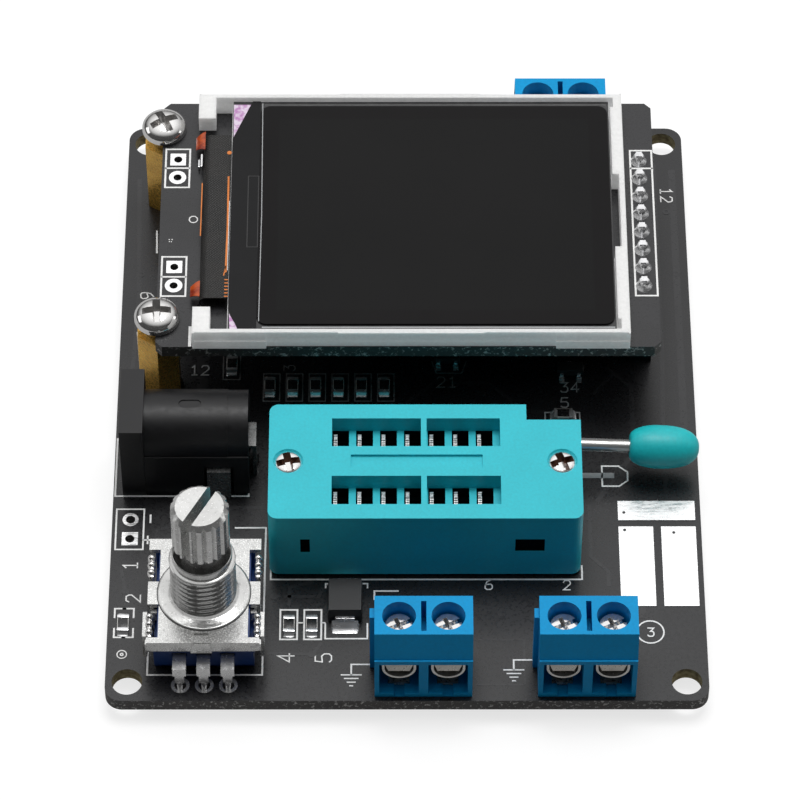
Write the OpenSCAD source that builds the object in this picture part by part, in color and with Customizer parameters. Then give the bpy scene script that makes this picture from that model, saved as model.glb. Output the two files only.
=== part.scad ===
// Bare-board component tester: display, test socket, encoder, power jack and three screw terminals.
// Millimetres. X runs left to right, Y front to back, Z up.
// The origin is the centre of the four mounting holes, on the underside of the main board.

/* [Main board] */
// Width of the main board, left to right
board_w = 63; // [62.5:0.5:80]
// Length of the main board, front to back
board_l = 79; // [78:0.5:95]
// Thickness of the main board
board_t = 1.6; // [1:0.1:2.4]
// Corner radius of the main board
board_corner_r = 1.8; // [0.5:0.1:3]
// Diameter of the four mounting holes
mount_hole_d = 3.2; // [2.2:0.1:3.4]
// Mounting hole's centre to the side edge
mount_inset_x = 2.3; // [2.1:0.05:2.6]
// Mounting hole's centre to the front or back edge
mount_inset_y = 2.4; // [2.2:0.05:2.8]

/* [Leads and solder] */
// Diameter of the thin round leads
lead_d = 0.6; // [0.4:0.05:0.8]
// Diameter of the stout leads of the terminals
stout_lead_d = 1; // [0.8:0.05:1.2]
// Gap between a lead and the wall of its hole
lead_gap = 0.15; // [0.1:0.01:0.25]
// Height of the tall joints that the board stands on
tall_joint_h = 1.6; // [1.2:0.1:2.4]
// Height of the small solder joints
small_joint_h = 1.1; // [0.8:0.05:1.2]
// Diameter of a tall joint's pad
tall_pad_d = 2.4; // [2:0.1:2.8]
// Diameter of a small joint's pad
small_pad_d = 1.8; // [1.5:0.05:2.1]
// Lead's tip to the tip of its solder
tip_cover = 0.2; // [0.1:0.05:0.4]

/* [Test pads] */
// Thickness of the bare metal test pads
pad_t = 0.1; // [0.05:0.05:0.2]
// Width of each of the two long test pads
pad_w = 3.7; // [3:0.1:4.2]
// Length of the two long test pads
pad_l = 10.4; // [6:0.1:11]
// Depth of the short cross pad behind them
cross_pad_l = 2.55; // [1.5:0.05:3]
// Gap between the test pads
pad_gap = 0.85; // [0.4:0.05:1.2]
// Test pads to the right edge of the board
pad_edge_gap = 0.6; // [0.4:0.05:1.5]
// Front end of the long pads to the front edge of the board
pad_from_front = 12; // [11.5:0.1:16]

/* [Display board] */
// Display frame's left end to its board's left edge
lcd_margin_left = 4; // [3.6:0.1:6]
// Display frame's right end to its board's right edge
lcd_margin_right = 3.4; // [3.3:0.1:5]
// Display frame's back to its board's back edge
lcd_margin_back = 0.85; // [0:0.05:2]
// Display frame's overhang past its board's front edge
lcd_overhang = 0.25; // [-1:0.05:0.5]
// Thickness of the display's own board
lcd_board_t = 1.6; // [1:0.1:2]
// Cut across the corners of the display's board
lcd_corner_cut = 0.7; // [0.5:0.1:2]
// Display board's middle to the right of the main board's
lcd_shift_x = 0.2; // [-0.5:0.1:1.5]
// Display board's back edge to the main board's back edge
lcd_from_back = 6.5; // [6.4:0.1:12]
// Height of the stand-offs between the two boards
standoff_h = 10; // [9.6:0.1:14]
// Width across flats of the brass stand-offs
standoff_af = 4.3; // [4:0.1:5.5]
// Left edge of the display board to the stand-off axis
standoff_edge = 0.1; // [-0.4:0.05:0.4]
// Distance between the two stand-off axes
standoff_pitch = 27; // [24:0.1:29]
// Shank diameter of the stand-off screws
standoff_screw_d = 2.9; // [2:0.1:3]
// Head diameter of the stand-off screws
standoff_head_d = 4.9; // [4:0.1:5.6]
// Head height of the stand-off screws above the display board
upper_head_h = 1.7; // [1.2:0.1:2.4]
// Thread of a stand-off screw inside the stand-off
screw_grip = 4; // [2:0.1:4.6]
// Gap between a screw's shank and the hole it passes
screw_gap = 0.15; // [0.1:0.01:0.3]

/* [Display] */
// Height of the moulded display frame
lcd_frame_h = 2.65; // [2.4:0.05:4]
// Floor of the frame
lcd_frame_floor = 0.6; // [0.4:0.05:0.8]
// Wall of the frame at the front and back
lcd_frame_wall = 0.6; // [0.5:0.05:1.4]
// Wall of the frame at the right
lcd_frame_right_wall = 1.3; // [1:0.05:2.4]
// Width of the two prongs that end the frame at the left
lcd_prong_w = 1.9; // [1.2:0.1:2.4]
// Length of the two prongs
lcd_prong_l = 3.65; // [2:0.05:5]
// Gap between the prongs and the display glass
lcd_frame_gap = 1.9; // [1.4:0.05:2.4]
// Frame's left end above the display board
lcd_prong_lift = 0.6; // [0.2:0.05:1]
// Length of the raised clips on the frame's front
lcd_clip_l = 7.9; // [4:0.1:12]
// How far the raised clips stand out
lcd_clip_t = 0.35; // [0.2:0.05:0.5]
// Thickness of the backlight
backlight_t = 0.8; // [0.6:0.05:1.1]
// Thickness of the display glass
lcd_glass_t = 0.7; // [0.5:0.05:0.9]
// Thickness of the dark film on the glass
polarizer_t = 0.2; // [0.1:0.05:0.3]
// Width of the dark film
polarizer_w = 38.35; // [34:0.05:42]
// Length of the dark film, front to back
polarizer_l = 31; // [28:0.1:33]
// Right edge of the dark film to the edge of the glass
film_inset = 0.15; // [0.05:0.05:0.5]
// Dark film's front and back edges to the edges of the glass
film_end_inset = 0.8; // [0.3:0.05:1.2]
// Corner radius of the dark film
polarizer_r = 1.1; // [0.5:0.1:2]
// Width of the black tape left of the film
tape_w = 3.05; // [2:0.05:3.5]
// Thickness of the black tape
tape_t = 0.1; // [0.05:0.05:0.15]
// Thickness of the flexible circuit
flex_t = 0.15; // [0.1:0.05:0.2]
// Length of the flexible circuit, front to back
flex_l = 23.2; // [20:0.1:25]
// Width of the flexible circuit, with its bend
flex_w = 3.05; // [2:0.05:3.6]
// Gap between the display layers and the frame
layer_gap = 0.15; // [0.1:0.01:0.25]

/* [Display header] */
// Number of header pins
header_n = 8; // [4:1:9]
// Pitch of the header, the sockets and the chips
pitch = 2.54; // [2.54:0.01:2.54]
// Header pins to the right edge of the display board
header_edge = 1.6; // [1.5:0.1:2]
// Side of the square header pins
header_pin = 0.64; // [0.5:0.02:0.7]
// Width of the header's plastic strip
strip_w = 2.4; // [2:0.1:2.6]
// Height of the header's plastic strip
strip_h = 2.4; // [2:0.1:3]

/* [Test socket] */
// Width of the test socket
zif_w = 33; // [32:0.1:36]
// Depth of the test socket, front to back
zif_l = 15.05; // [14.6:0.05:18]
// Height of the test socket
zif_h = 10.3; // [9.8:0.1:13]
// Height of the line where cover and body meet
zif_split = 6.6; // [6.4:0.1:7.5]
// Feet of the socket body above the board
zif_foot = 0.4; // [0.2:0.05:0.6]
// Corner radius of the test socket
zif_corner_r = 1; // [0.4:0.1:1.4]
// Left edge of the board to the socket
zif_from_left = 16.95; // [16.9:0.05:20]
// Back of the socket to the front edge of the display's board
zif_to_lcd = 6.8; // [3:0.05:8]
// Number of contacts in each of the two rows
zif_row_n = 7; // [5:1:7]
// Distance between the two rows of contacts
zif_row_pitch = 7.62; // [7.62:0.01:7.8]
// Socket's left edge to its first contact slot
zif_slots_from_left = 6.65; // [6.4:0.05:7]
// Width of the two troughs
zif_trough_l = 3.7; // [3:0.1:4]
// Depth of the two troughs
zif_trough_d = 2.1; // [1:0.1:2.6]
// Rib between two contact slots
zif_rib = 0.75; // [0.5:0.05:0.8]
// Width of the notch that the lever rises in
zif_notch_w = 5.75; // [5.4:0.05:6]
// Depth of the notch that the lever rises in
zif_notch_l = 2.05; // [1.95:0.05:2.4]
// Thickness of the inner slider
zif_slider_t = 1.8; // [1.4:0.1:1.9]
// Travel of the inner slider
zif_travel = 1; // [0.6:0.1:1]
// Gap between the slider and its channel
zif_slide_gap = 0.1; // [0.05:0.01:0.15]
// Thickness of a contact leaf
zif_leaf_t = 0.3; // [0.2:0.05:0.4]
// Head diameter of the cover screws
zif_screw_head_d = 3; // [2.4:0.1:3.2]
// Shank diameter of the cover screws
zif_screw_d = 1.6; // [1.2:0.1:1.8]
// Cover screws to the socket's left and right edges
zif_screw_inset = 2.07; // [1.9:0.01:2.4]

/* [Socket lever] */
// Diameter of the lever rod
lever_d = 1.4; // [1.2:0.05:1.6]
// Lever pivot to the socket's right edge
lever_pivot_inset = 2.75; // [2.6:0.05:3]
// Height of the lever pivot above the board
lever_z = 4.8; // [4.75:0.05:5.1]
// How far the lever droops at rest, in degrees
lever_droop = 3; // [0:0.5:4]
// Lever pivot to the far end of the knob
lever_reach = 15.7; // [12:0.05:20]
// Length of the lever knob
knob_l = 7.5; // [6:0.1:9]
// Largest diameter of the lever knob
knob_d = 4.7; // [3.6:0.1:5]
// Depth of the rod inside the knob
knob_bore_l = 4.5; // [3:0.1:5]
// Gap between the rod and the walls around it
lever_gap = 0.12; // [0.05:0.01:0.15]

/* [Encoder] */
// Left edge of the board to the encoder axis
enc_from_left = 10.38; // [10:0.01:11]
// Front edge of the board to the encoder axis
enc_from_front = 9.2; // [9:0.05:10]
// Width of the encoder's metal frame
enc_w = 11.7; // [11.4:0.1:12.2]
// Encoder axis to the front of the frame
enc_front = 6.4; // [6.2:0.05:6.6]
// Encoder axis to the back of the frame
enc_back = 6.9; // [6.5:0.05:7.1]
// Height of the encoder body
enc_h = 6.5; // [6:0.1:7.5]
// Thickness of the metal frame
enc_sheet = 0.6; // [0.4:0.05:0.8]
// Height of the front and back skirts of the metal frame
enc_skirt = 1.5; // [1:0.1:2]
// Depth of the side notches in the metal frame
enc_notch = 1.2; // [0.8:0.05:1.5]
// Diameter of the bushing's thread
bushing_d = 6.9; // [6.5:0.1:8]
// Top of the bushing above the encoder body
bushing_h = 7.3; // [5:0.1:8]
// Diameter of the plain end above the thread
bushing_lead_d = 6.1; // [5.8:0.1:6.4]
// Length of the plain end above the thread
bushing_lead_h = 1.2; // [0.4:0.1:1.4]
// Diameter of the raised boss around the thread
boss_d = 9.7; // [8:0.1:10]
// Height of the raised boss
boss_h = 0.4; // [0.2:0.05:0.8]
// Diameter of the splined shaft
shaft_d = 6; // [5.8:0.05:6.1]
// Top of the shaft above the encoder body
shaft_top = 15; // [13:0.1:25]
// Length of the splined part
spline_l = 5.9; // [5:0.1:7.4]
// Number of splines
spline_n = 18; // [12:1:24]
// Depth of the grooves between the splines
spline_depth = 0.35; // [0.2:0.05:0.4]
// Diameter of the shaft's journal
journal_d = 4.5; // [4.2:0.1:5]
// Gap between journal and bushing
journal_gap = 0.05; // [0.02:0.01:0.08]
// Width of the slot across the shaft's end
shaft_slot_w = 1; // [0.6:0.05:1.4]
// Depth of the slot across the shaft's end
shaft_slot_d = 6.8; // [2:0.1:7]
// Direction of the slot across the shaft's end
shaft_slot_angle = 61; // [0:1:180]
// Travel of the shaft when it is pressed
press_travel = 0.5; // [0.2:0.05:0.5]

/* [Power jack] */
// Left edge of the board to the jack's face
jack_from_left = 1.05; // [0.5:0.05:1.2]
// Jack's axis to the front edge of the display's board
jack_to_lcd = 6.85; // [5.5:0.05:8]
// Length of the jack
jack_l = 13.6; // [13:0.1:14.5]
// Width of the jack's front flange
jack_flange_w = 8.6; // [8.4:0.1:9.2]
// Thickness of the jack's front flange
jack_flange_t = 2.5; // [1.5:0.1:3.2]
// Height of the jack's front flange
jack_h = 11; // [10.8:0.1:12]
// Height of the jack's axis above the board
jack_axis_z = 6.5; // [6.3:0.05:6.6]
// Radius of the jack's rounded barrel
jack_barrel_r = 4.05; // [4:0.05:4.2]
// Diameter of the plug opening
jack_bore_d = 6.3; // [5.8:0.1:6.5]
// Depth of the plug opening
jack_bore_l = 9.8; // [9:0.1:10]
// Diameter of the centre pin's shank
jack_shank_d = 1.6; // [1.2:0.1:1.6]
// Diameter of the centre pin
jack_pin_d = 2; // [1.6:0.05:2.5]
// Jack's face to the tip of the centre pin
jack_pin_recess = 1.2; // [0.5:0.1:2.5]
// Thickness of the jack's contacts
jack_contact_t = 0.4; // [0.3:0.05:0.5]

/* [Screw terminals] */
// Width of a two-pole terminal
term_w = 10.16; // [10.16:0.02:10.6]
// Depth of a terminal
term_l = 5.9; // [5.9:0.05:6.6]
// Height of a terminal
term_h = 9.8; // [9.8:0.1:12]
// Distance between the poles
term_pitch = 5.08; // [5.06:0.01:5.1]
// Depth of the flat top, from the back wall
term_top_l = 4.85; // [4.6:0.05:5]
// Height of the ledge under the sloping front
term_ledge_z = 6.4; // [6.3:0.05:7]
// Depth of the ledge under the sloping front
term_ledge = 0.2; // [0.1:0.05:0.3]
// Back wall to the screw axis
term_axis = 2.5; // [2.45:0.05:2.6]
// Diameter of the screw wells
term_well_d = 3.5; // [3.4:0.05:3.8]
// Width of the wire openings
term_port_w = 4.1; // [3.8:0.05:4.2]
// Bottom of the wire openings
term_port_bottom = 0.7; // [0.5:0.05:1]
// Top of the wire openings
term_port_top = 5.8; // [5.7:0.05:6]
// Width of the notch in the floor of the wire openings
term_notch_w = 1.1; // [0.6:0.05:1.6]
// Width of the slot between the screw wells
term_slot_w = 0.55; // [0.3:0.05:0.7]
// Thickness of the front wall around the wire openings
term_lip = 0.3; // [0.25:0.05:0.5]
// Ceiling of the chambers, against the threaded blocks
term_ceiling = 6.4; // [6.2:0.05:6.8]
// Thread diameter of the clamp screws
clamp_screw_d = 2.5; // [2:0.05:2.5]
// Diameter of the rim around the clamp screws' ends
clamp_rim_d = 2.8; // [2.6:0.05:3.2]
// Clamp screws' tops below the terminal's top
clamp_screw_sink = 1.65; // [1.2:0.05:2.4]
// Height of the threaded block
block_h = 2.3; // [2:0.05:2.35]
// Width of the threaded block at its top
block_w = 2.9; // [2.8:0.02:2.9]
// Width of the threaded block at its bottom
block_foot_w = 2.2; // [1.8:0.05:2.25]
// Width of the sprung wire guard under each screw
guard_w = 3.52; // [3.5:0.02:3.8]
// Thickness of the wire guard
guard_t = 0.26; // [0.2:0.02:0.26]
// Bottom of the wire guard above the board
guard_bottom = 3; // [2.6:0.05:3.2]
// Board's front edge to the front terminals
term_from_front = 0.5; // [0.3:0.05:0.8]
// Board edge to the wire side of the back terminal
back_term_from_back = 0.05; // [0:0.05:0.2]
// Board's left edge to the middle of the left terminal
left_term_from_left = 33.2; // [33:0.1:34]
// Board's right edge to the middle of the right terminal
right_term_from_right = 12.8; // [12.4:0.1:13]
// Board's right edge to the middle of the back terminal
back_term_from_right = 14.1; // [13:0.1:16]

/* [Small parts] */
// Number of pins of the microcontroller
mcu_n = 28; // [20:2:28]
// Distance between the microcontroller's two rows
mcu_row_pitch = 7.62; // [7.62:0.01:7.8]
// Height of the microcontroller's socket
mcu_socket_h = 4.2; // [3:0.1:4.4]
// Height of the microcontroller's body
mcu_h = 3.3; // [2.5:0.1:3.4]
// Chip resistor length
chip_l = 2; // [1.6:0.1:2.2]
// Chip resistor width
chip_w = 1.25; // [0.8:0.05:1.3]
// Chip resistor height
chip_h = 0.5; // [0.4:0.05:0.7]

/* [Hidden] */
$fn = 48;

// Colours
BOARD_BLACK = [0.10, 0.10, 0.11];
TURQUOISE = [0.28, 0.80, 0.85];
TERMINAL_BLUE = [0.10, 0.55, 0.85];
METAL = [0.78, 0.78, 0.78];
SOLDER = [0.72, 0.73, 0.74];
BRASS = [0.83, 0.65, 0.30];
BLACK = [0.07, 0.07, 0.08];
WHITE = [0.92, 0.92, 0.91];

// Cuts run this far past the face they open
eps = 0.5;
through = board_t + 2 * eps;

// Edges of the main board
left = -board_w / 2;
right = board_w / 2;
front = -board_l / 2;
back = board_l / 2;
top = board_t;
// Tip of a flat tab under the board, from the board's top
tab_bottom = -top - tall_joint_h + tip_cover;

// Display module, built outwards from the film
stack_w = tape_w + polarizer_w + film_inset;
stack_l = polarizer_l + 2 * film_end_inset;
lcd_frame_w = lcd_prong_w + lcd_frame_gap + stack_w + layer_gap + lcd_frame_right_wall;
lcd_frame_l = stack_l + 2 * layer_gap + 2 * lcd_frame_wall;
lcd_board_w = lcd_margin_left + lcd_frame_w + lcd_margin_right;
lcd_board_l = lcd_frame_l + lcd_margin_back - lcd_overhang;
lcd_x = lcd_shift_x;
lcd_y = back - lcd_from_back - lcd_board_l / 2;
lcd_front = lcd_y - lcd_board_l / 2;
lcd_z = top + standoff_h;
lcd_top = lcd_z + lcd_board_t;
frame_x = lcd_x + (lcd_margin_left - lcd_margin_right) / 2;
frame_y = lcd_y - (lcd_margin_back + lcd_overhang) / 2;
frame_x0 = frame_x - lcd_frame_w / 2;
frame_x1 = frame_x + lcd_frame_w / 2;
header_x = lcd_x + lcd_board_w / 2 - header_edge;
standoff_x = lcd_x - lcd_board_w / 2 + standoff_edge;
backlight_z = lcd_top + lcd_frame_floor;
glass_z = backlight_z + backlight_t;
film_z = glass_z + lcd_glass_t;
stack_x1 = frame_x1 - lcd_frame_right_wall - layer_gap;
stack_x0 = stack_x1 - stack_w;
stack_x = (stack_x0 + stack_x1) / 2;
film_x = stack_x1 - film_inset - polarizer_w / 2;
tape_x = stack_x0 + tape_w / 2;
header_socket_h = standoff_h - strip_h;

// Test socket
zif_x0 = left + zif_from_left;
zif_x1 = zif_x0 + zif_w;
zif_y1 = lcd_front - zif_to_lcd;
zif_y0 = zif_y1 - zif_l;
zif_x = (zif_x0 + zif_x1) / 2;
zif_y = (zif_y0 + zif_y1) / 2;
zif_slots_x0 = zif_x0 + zif_slots_from_left;
zif_slots_x1 = zif_slots_x0 + zif_row_n * pitch;
zif_slot_w = pitch - zif_rib;
zif_leaf_x = 0.25;
zif_channel_z = top + zif_split - zif_slider_t - zif_slide_gap;
lever_x = zif_x1 - lever_pivot_inset;
lever_y = zif_y1 - zif_notch_l / 2;
lever_top = top + lever_z;
crank_y = lever_y - 2.7;
crank_w = 2;
crank_r = 1.3;
crank_pin_d = 0.8;
lever_channel_l = zif_y1 - crank_y + crank_w / 2 + 0.8;
slider_x0 = zif_slots_x0 - 0.6;
slider_x1 = lever_x + 2.2;
slider_l = zif_row_pitch + zif_trough_l;

// Encoder
enc_x = left + enc_from_left;
enc_y = front + enc_from_front;
enc_base_l = enc_front + enc_back - 2 * enc_sheet;
enc_base_y = (enc_back - enc_front) / 2;
rotor_d = 8.6;
rotor_t = 1.6;
rotor_z = 3.9;
shaft_bottom = 2.9;
dome_pocket_z = 1.4;
enc_pin_pitch = 2.5;
enc_pin_out = 1.2;
enc_lug_w = 2.2;
enc_notch_back = [1.4, 5.5];
enc_notch_front = [-5.7, -1.5];

// Power jack
jack_x0 = left + jack_from_left;
jack_y = lcd_front - jack_to_lcd;

// Terminals
front_term_y = front + term_from_front + term_l;
term_back_wall = 0.7;
term_floor_step = 0.35;
term_step_l = 1.2;
contact_t = 0.35;
clamp_gap = 0.05;
block_y0 = -term_l + term_lip + 0.15;
block_y1 = -term_back_wall - 0.1;
lead_hole_d = lead_d + 2 * lead_gap;
stout_hole_d = stout_lead_d + 2 * lead_gap;

// Parts under the display
crystal_w = 4.9;
standoff_to_crystal = 5.8;
crystal_to_socket = 1.75;
crystal_x = standoff_x + standoff_to_crystal;
crystal_y = lcd_y + 1;
crystal_pin_pitch = 4.88;
mcu_row_l = (mcu_n / 2 - 1) * pitch;
mcu_x = crystal_x + crystal_w / 2 + crystal_to_socket + (mcu_row_l + pitch) / 2;
mcu_y = lcd_y - 1;
regulator_x = lcd_x - 6;
regulator_y = mcu_y + mcu_row_pitch / 2 + 8.7;
row_resistor_n = 6;
row_resistor_x = lcd_x - 15.1;
row_resistor_pitch = 2.5;
row_resistor_y = lcd_front + 3.6;

// Chips beside the display's front edge, the socket and the encoder
side_chip_x = lcd_x - 19.3;
side_chip_y = lcd_front + 6.6;
lever_chip_x = lcd_x + 16.9;
lever_chip_y = lcd_front - 0.3;
transistor_a_x = lcd_x + 17.8;
transistor_a_y = lcd_front + 5.7;
transistor_b_x = lcd_x + 4.3;
transistor_b_y = lcd_front + 7.4;
diode_x = zif_x0 + 8.05;
diode_y = zif_y0 - 3.85;
front_chip_x = zif_x0 + 2.15;
front_chip_y = zif_y0 - 6.45;
front_chip_pitch = 2.4;
encoder_chip_x = enc_x - 8.73;
encoder_chip_y = enc_y + 0.45;

// ---------- shared shapes ----------

module rounded_rect(w, l, r) {
  square([w - 2 * r, l], center = true);
  square([w, l - 2 * r], center = true);
  for (sx = [-1, 1], sy = [-1, 1])
    translate([sx * (w / 2 - r), sy * (l / 2 - r)]) circle(r);
}

module cut_rect(w, l, cut) {
  polygon([
    [-w / 2 + cut, -l / 2], [w / 2 - cut, -l / 2], [w / 2, -l / 2 + cut], [w / 2, l / 2 - cut],
    [w / 2 - cut, l / 2], [-w / 2 + cut, l / 2], [-w / 2, l / 2 - cut], [-w / 2, -l / 2 + cut]
  ]);
}

module block(at, size) translate(at) cube(size);

module box(size, at) block(at - [size[0] / 2, size[1] / 2, 0], size);

module drill(d, depth = board_t) translate([0, 0, -eps]) cylinder(d = d, h = depth + 2 * eps);

// Lead through the board, down to just inside its solder
module lead(d, joint_h, height = 0) {
  translate([0, 0, -joint_h + tip_cover]) cylinder(d = d, h = joint_h - tip_cover + board_t + height);
}

// Hollow-sided cone of solder under the board, around a lead
module solder_joint(pad_d, d, h) {
  n = 8;
  neck = d / 2 + 0.12;
  rotate_extrude()
    polygon(concat(
      [[0, 0], [pad_d / 2, 0]],
      [for (i = [1:n]) [neck + (pad_d / 2 - neck) * pow(1 - i / n, 2.2), -h * 0.85 * i / n]],
      [[d / 2, -h], [0, -h]]
    ));
}

module joint_with_bore(pad_d, d, h) {
  difference() {
    solder_joint(pad_d, d, h);
    translate([0, 0, -h + tip_cover]) cylinder(d = d, h = h);
  }
}

module cross_recess(w, depth) {
  for (a = [0, 90])
    rotate(a) block([-w / 2, -w / 8, -depth], [w, w / 4, depth + eps]);
}

// ---------- places that repeat ----------

module at_mount_holes() {
  for (sx = [-1, 1], sy = [-1, 1])
    translate([sx * (board_w / 2 - mount_inset_x), sy * (board_l / 2 - mount_inset_y), 0]) children();
}

module at_standoffs() {
  for (s = [-1, 1]) translate([standoff_x, lcd_y + s * standoff_pitch / 2, 0]) children();
}

module at_header_pins() {
  for (i = [0:header_n - 1]) translate([header_x, lcd_y + (i - (header_n - 1) / 2) * pitch, 0]) children();
}

module at_zif_slots() {
  for (row = [-1, 1], i = [0:zif_row_n - 1])
    translate([zif_slots_x0 + i * pitch, zif_y + row * zif_row_pitch / 2, 0]) children();
}

module at_zif_leads() {
  at_zif_slots() translate([zif_slot_w / 2, 0, 0]) children();
}

module at_zif_screws() {
  for (x = [zif_x0 + zif_screw_inset, zif_x1 - zif_screw_inset]) translate([x, zif_y, 0]) children();
}

module at_encoder_pins() {
  translate([enc_x, enc_y, 0]) {
    for (i = [-1:1]) translate([i * enc_pin_pitch, -enc_front - enc_pin_out, 0]) children();
    for (s = [-1, 1]) translate([s * enc_pin_pitch, enc_back + 0.6, 0]) children();
  }
}

module at_encoder_lugs() {
  translate([enc_x, enc_y, 0])
    for (s = [-1, 1]) translate([s * (enc_w / 2 - enc_sheet / 2), 0, 0]) children();
}

module at_mcu_pins() {
  for (row = [-1, 1], i = [0:mcu_n / 2 - 1])
    translate([mcu_x - mcu_row_l / 2 + i * pitch, mcu_y + row * mcu_row_pitch / 2, 0]) children();
}

module at_crystal_pins() {
  for (s = [-1, 1]) translate([crystal_x, crystal_y + s * crystal_pin_pitch / 2, 0]) children();
}

// Terminal frames: local origin in the middle of the back wall, on the board, wires enter from -Y
module at_left_terminal() translate([left + left_term_from_left, front_term_y, top]) children();

module at_right_terminal() translate([right - right_term_from_right, front_term_y, top]) children();

module at_back_terminal()
  translate([right - back_term_from_right, back - back_term_from_back - term_l, top]) rotate(180) children();

module at_poles() {
  for (s = [-1, 1]) at_pole(s) children();
}

module at_pole(s) translate([s * term_pitch / 2, -term_axis, 0]) children();

module at_terminal_leads() {
  at_left_terminal() at_poles() translate([0, 0, -top]) children();
  at_right_terminal() at_poles() translate([0, 0, -top]) children();
  at_back_terminal() at_poles() translate([0, 0, -top]) children();
}

// Tabs of the jack's pin, of its switch contact and of its sleeve spring
jack_rear_tab_x = jack_x0 + jack_l + 0.55;
jack_side_tab_x = jack_x0 + 10.4;
jack_side_tab_y = jack_y - jack_barrel_r - 0.45;
jack_sleeve_tab_x = jack_x0 + 7;
jack_tab_w = 2.2;
jack_side_tab_w = 2.5;
jack_shank_x = jack_bore_l - 0.2;
jack_chamber_x = jack_bore_l + 0.8;
jack_rear_plate_w = 3.2;

module at_jack_tabs() {
  translate([jack_rear_tab_x, jack_y, 0]) rotate(90) children();
  translate([jack_side_tab_x, jack_side_tab_y, 0]) children();
  translate([jack_sleeve_tab_x, jack_y, 0]) rotate(90) children();
}

// ---------- main board ----------

module main_board() {
  color(BOARD_BLACK)
    difference() {
      linear_extrude(board_t) rounded_rect(board_w, board_l, board_corner_r);
      at_mount_holes() drill(mount_hole_d);
      at_standoffs() drill(standoff_screw_d + 2 * screw_gap);
      at_zif_leads() drill(lead_hole_d);
      at_header_pins() drill(header_pin * sqrt(2) + lead_gap);
      at_encoder_pins() drill(lead_hole_d + 0.2);
      at_encoder_lugs() box([enc_sheet + 2 * lead_gap, enc_lug_w + 2 * lead_gap, through], [0, 0, -eps]);
      at_mcu_pins() drill(lead_hole_d);
      at_crystal_pins() drill(lead_hole_d);
      at_terminal_leads() drill(stout_hole_d);
      at_jack_tabs() box([jack_tab_w + 2 * lead_gap, jack_contact_t + 2 * lead_gap, through], [0, 0, -eps]);
      spare_header_holes() drill(1);
    }
}

// Two empty holes for a battery lead, left of the encoder
module spare_header_holes() {
  for (i = [0, 1]) translate([left + 1.97, front + 20.85 + i * pitch, 0]) children();
}

module test_pads() {
  pad_x1 = right - pad_edge_gap;
  pair_w = 2 * pad_w + pad_gap;
  long_y = front + pad_from_front + pad_l / 2;
  color(SOLDER)
    translate([0, 0, top]) {
      for (i = [0, 1])
        box([pad_w, pad_l, pad_t], [pad_x1 - pad_w / 2 - i * (pad_w + pad_gap), long_y, 0]);
      box([pair_w, cross_pad_l, pad_t],
        [pad_x1 - pair_w / 2, long_y + pad_l / 2 + pad_gap + cross_pad_l / 2, 0]);
    }
}

module edge_solder() {
  color(SOLDER) {
    at_terminal_leads() joint_with_bore(tall_pad_d, stout_lead_d, tall_joint_h);
    at_encoder_pins() joint_with_bore(tall_pad_d * 0.8, lead_d, tall_joint_h);
    at_jack_tabs() tab_joint(jack_tab_w, jack_contact_t);
    at_encoder_lugs() rotate(90) tab_joint(enc_lug_w, enc_sheet);
  }
}

// Long solder joint around a flat tab
module tab_joint(w, t) {
  difference() {
    translate([0, 0, -tall_joint_h])
      linear_extrude(tall_joint_h) rounded_rect(w + 1, t + 1, (t + 1) / 2 - 0.01);
    box([w, t, tall_joint_h], [0, 0, -tall_joint_h + tip_cover]);
  }
}

module socket_solder() {
  color(SOLDER) {
    at_zif_leads() joint_with_bore(small_pad_d, lead_d, small_joint_h);
    at_mcu_pins() joint_with_bore(small_pad_d, lead_d, small_joint_h);
    at_crystal_pins() joint_with_bore(small_pad_d, lead_d, small_joint_h);
    at_header_pins() difference() {
      solder_joint(small_pad_d, header_pin * sqrt(2), small_joint_h);
      box([header_pin, header_pin, small_joint_h], [0, 0, -small_joint_h + tip_cover]);
    }
  }
}

// ---------- display module ----------

module lcd_board() {
  color(BOARD_BLACK)
    translate([0, 0, lcd_z])
      difference() {
        translate([lcd_x, lcd_y, 0])
          linear_extrude(lcd_board_t) cut_rect(lcd_board_w, lcd_board_l, lcd_corner_cut);
        at_standoffs() drill(standoff_screw_d + 2 * screw_gap, lcd_board_t);
        at_header_pins() drill(header_pin * sqrt(2) + lead_gap, lcd_board_t);
        lcd_lamp_holes() drill(0.9, lcd_board_t);
      }
}

// Two pairs of empty holes at the left of the display board
lamp_hole_inset = 1.75;
lamp_hole_pitch = 2.6;
lamp_pair_front = -7.56;
lamp_pair_back = 7.82;
module lcd_lamp_holes() {
  for (y = [lamp_pair_front, lamp_pair_back], i = [-0.5, 0.5])
    translate([lcd_x - lcd_board_w / 2 + lamp_hole_inset, lcd_y + y + i * lamp_hole_pitch, 0]) children();
}

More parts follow.
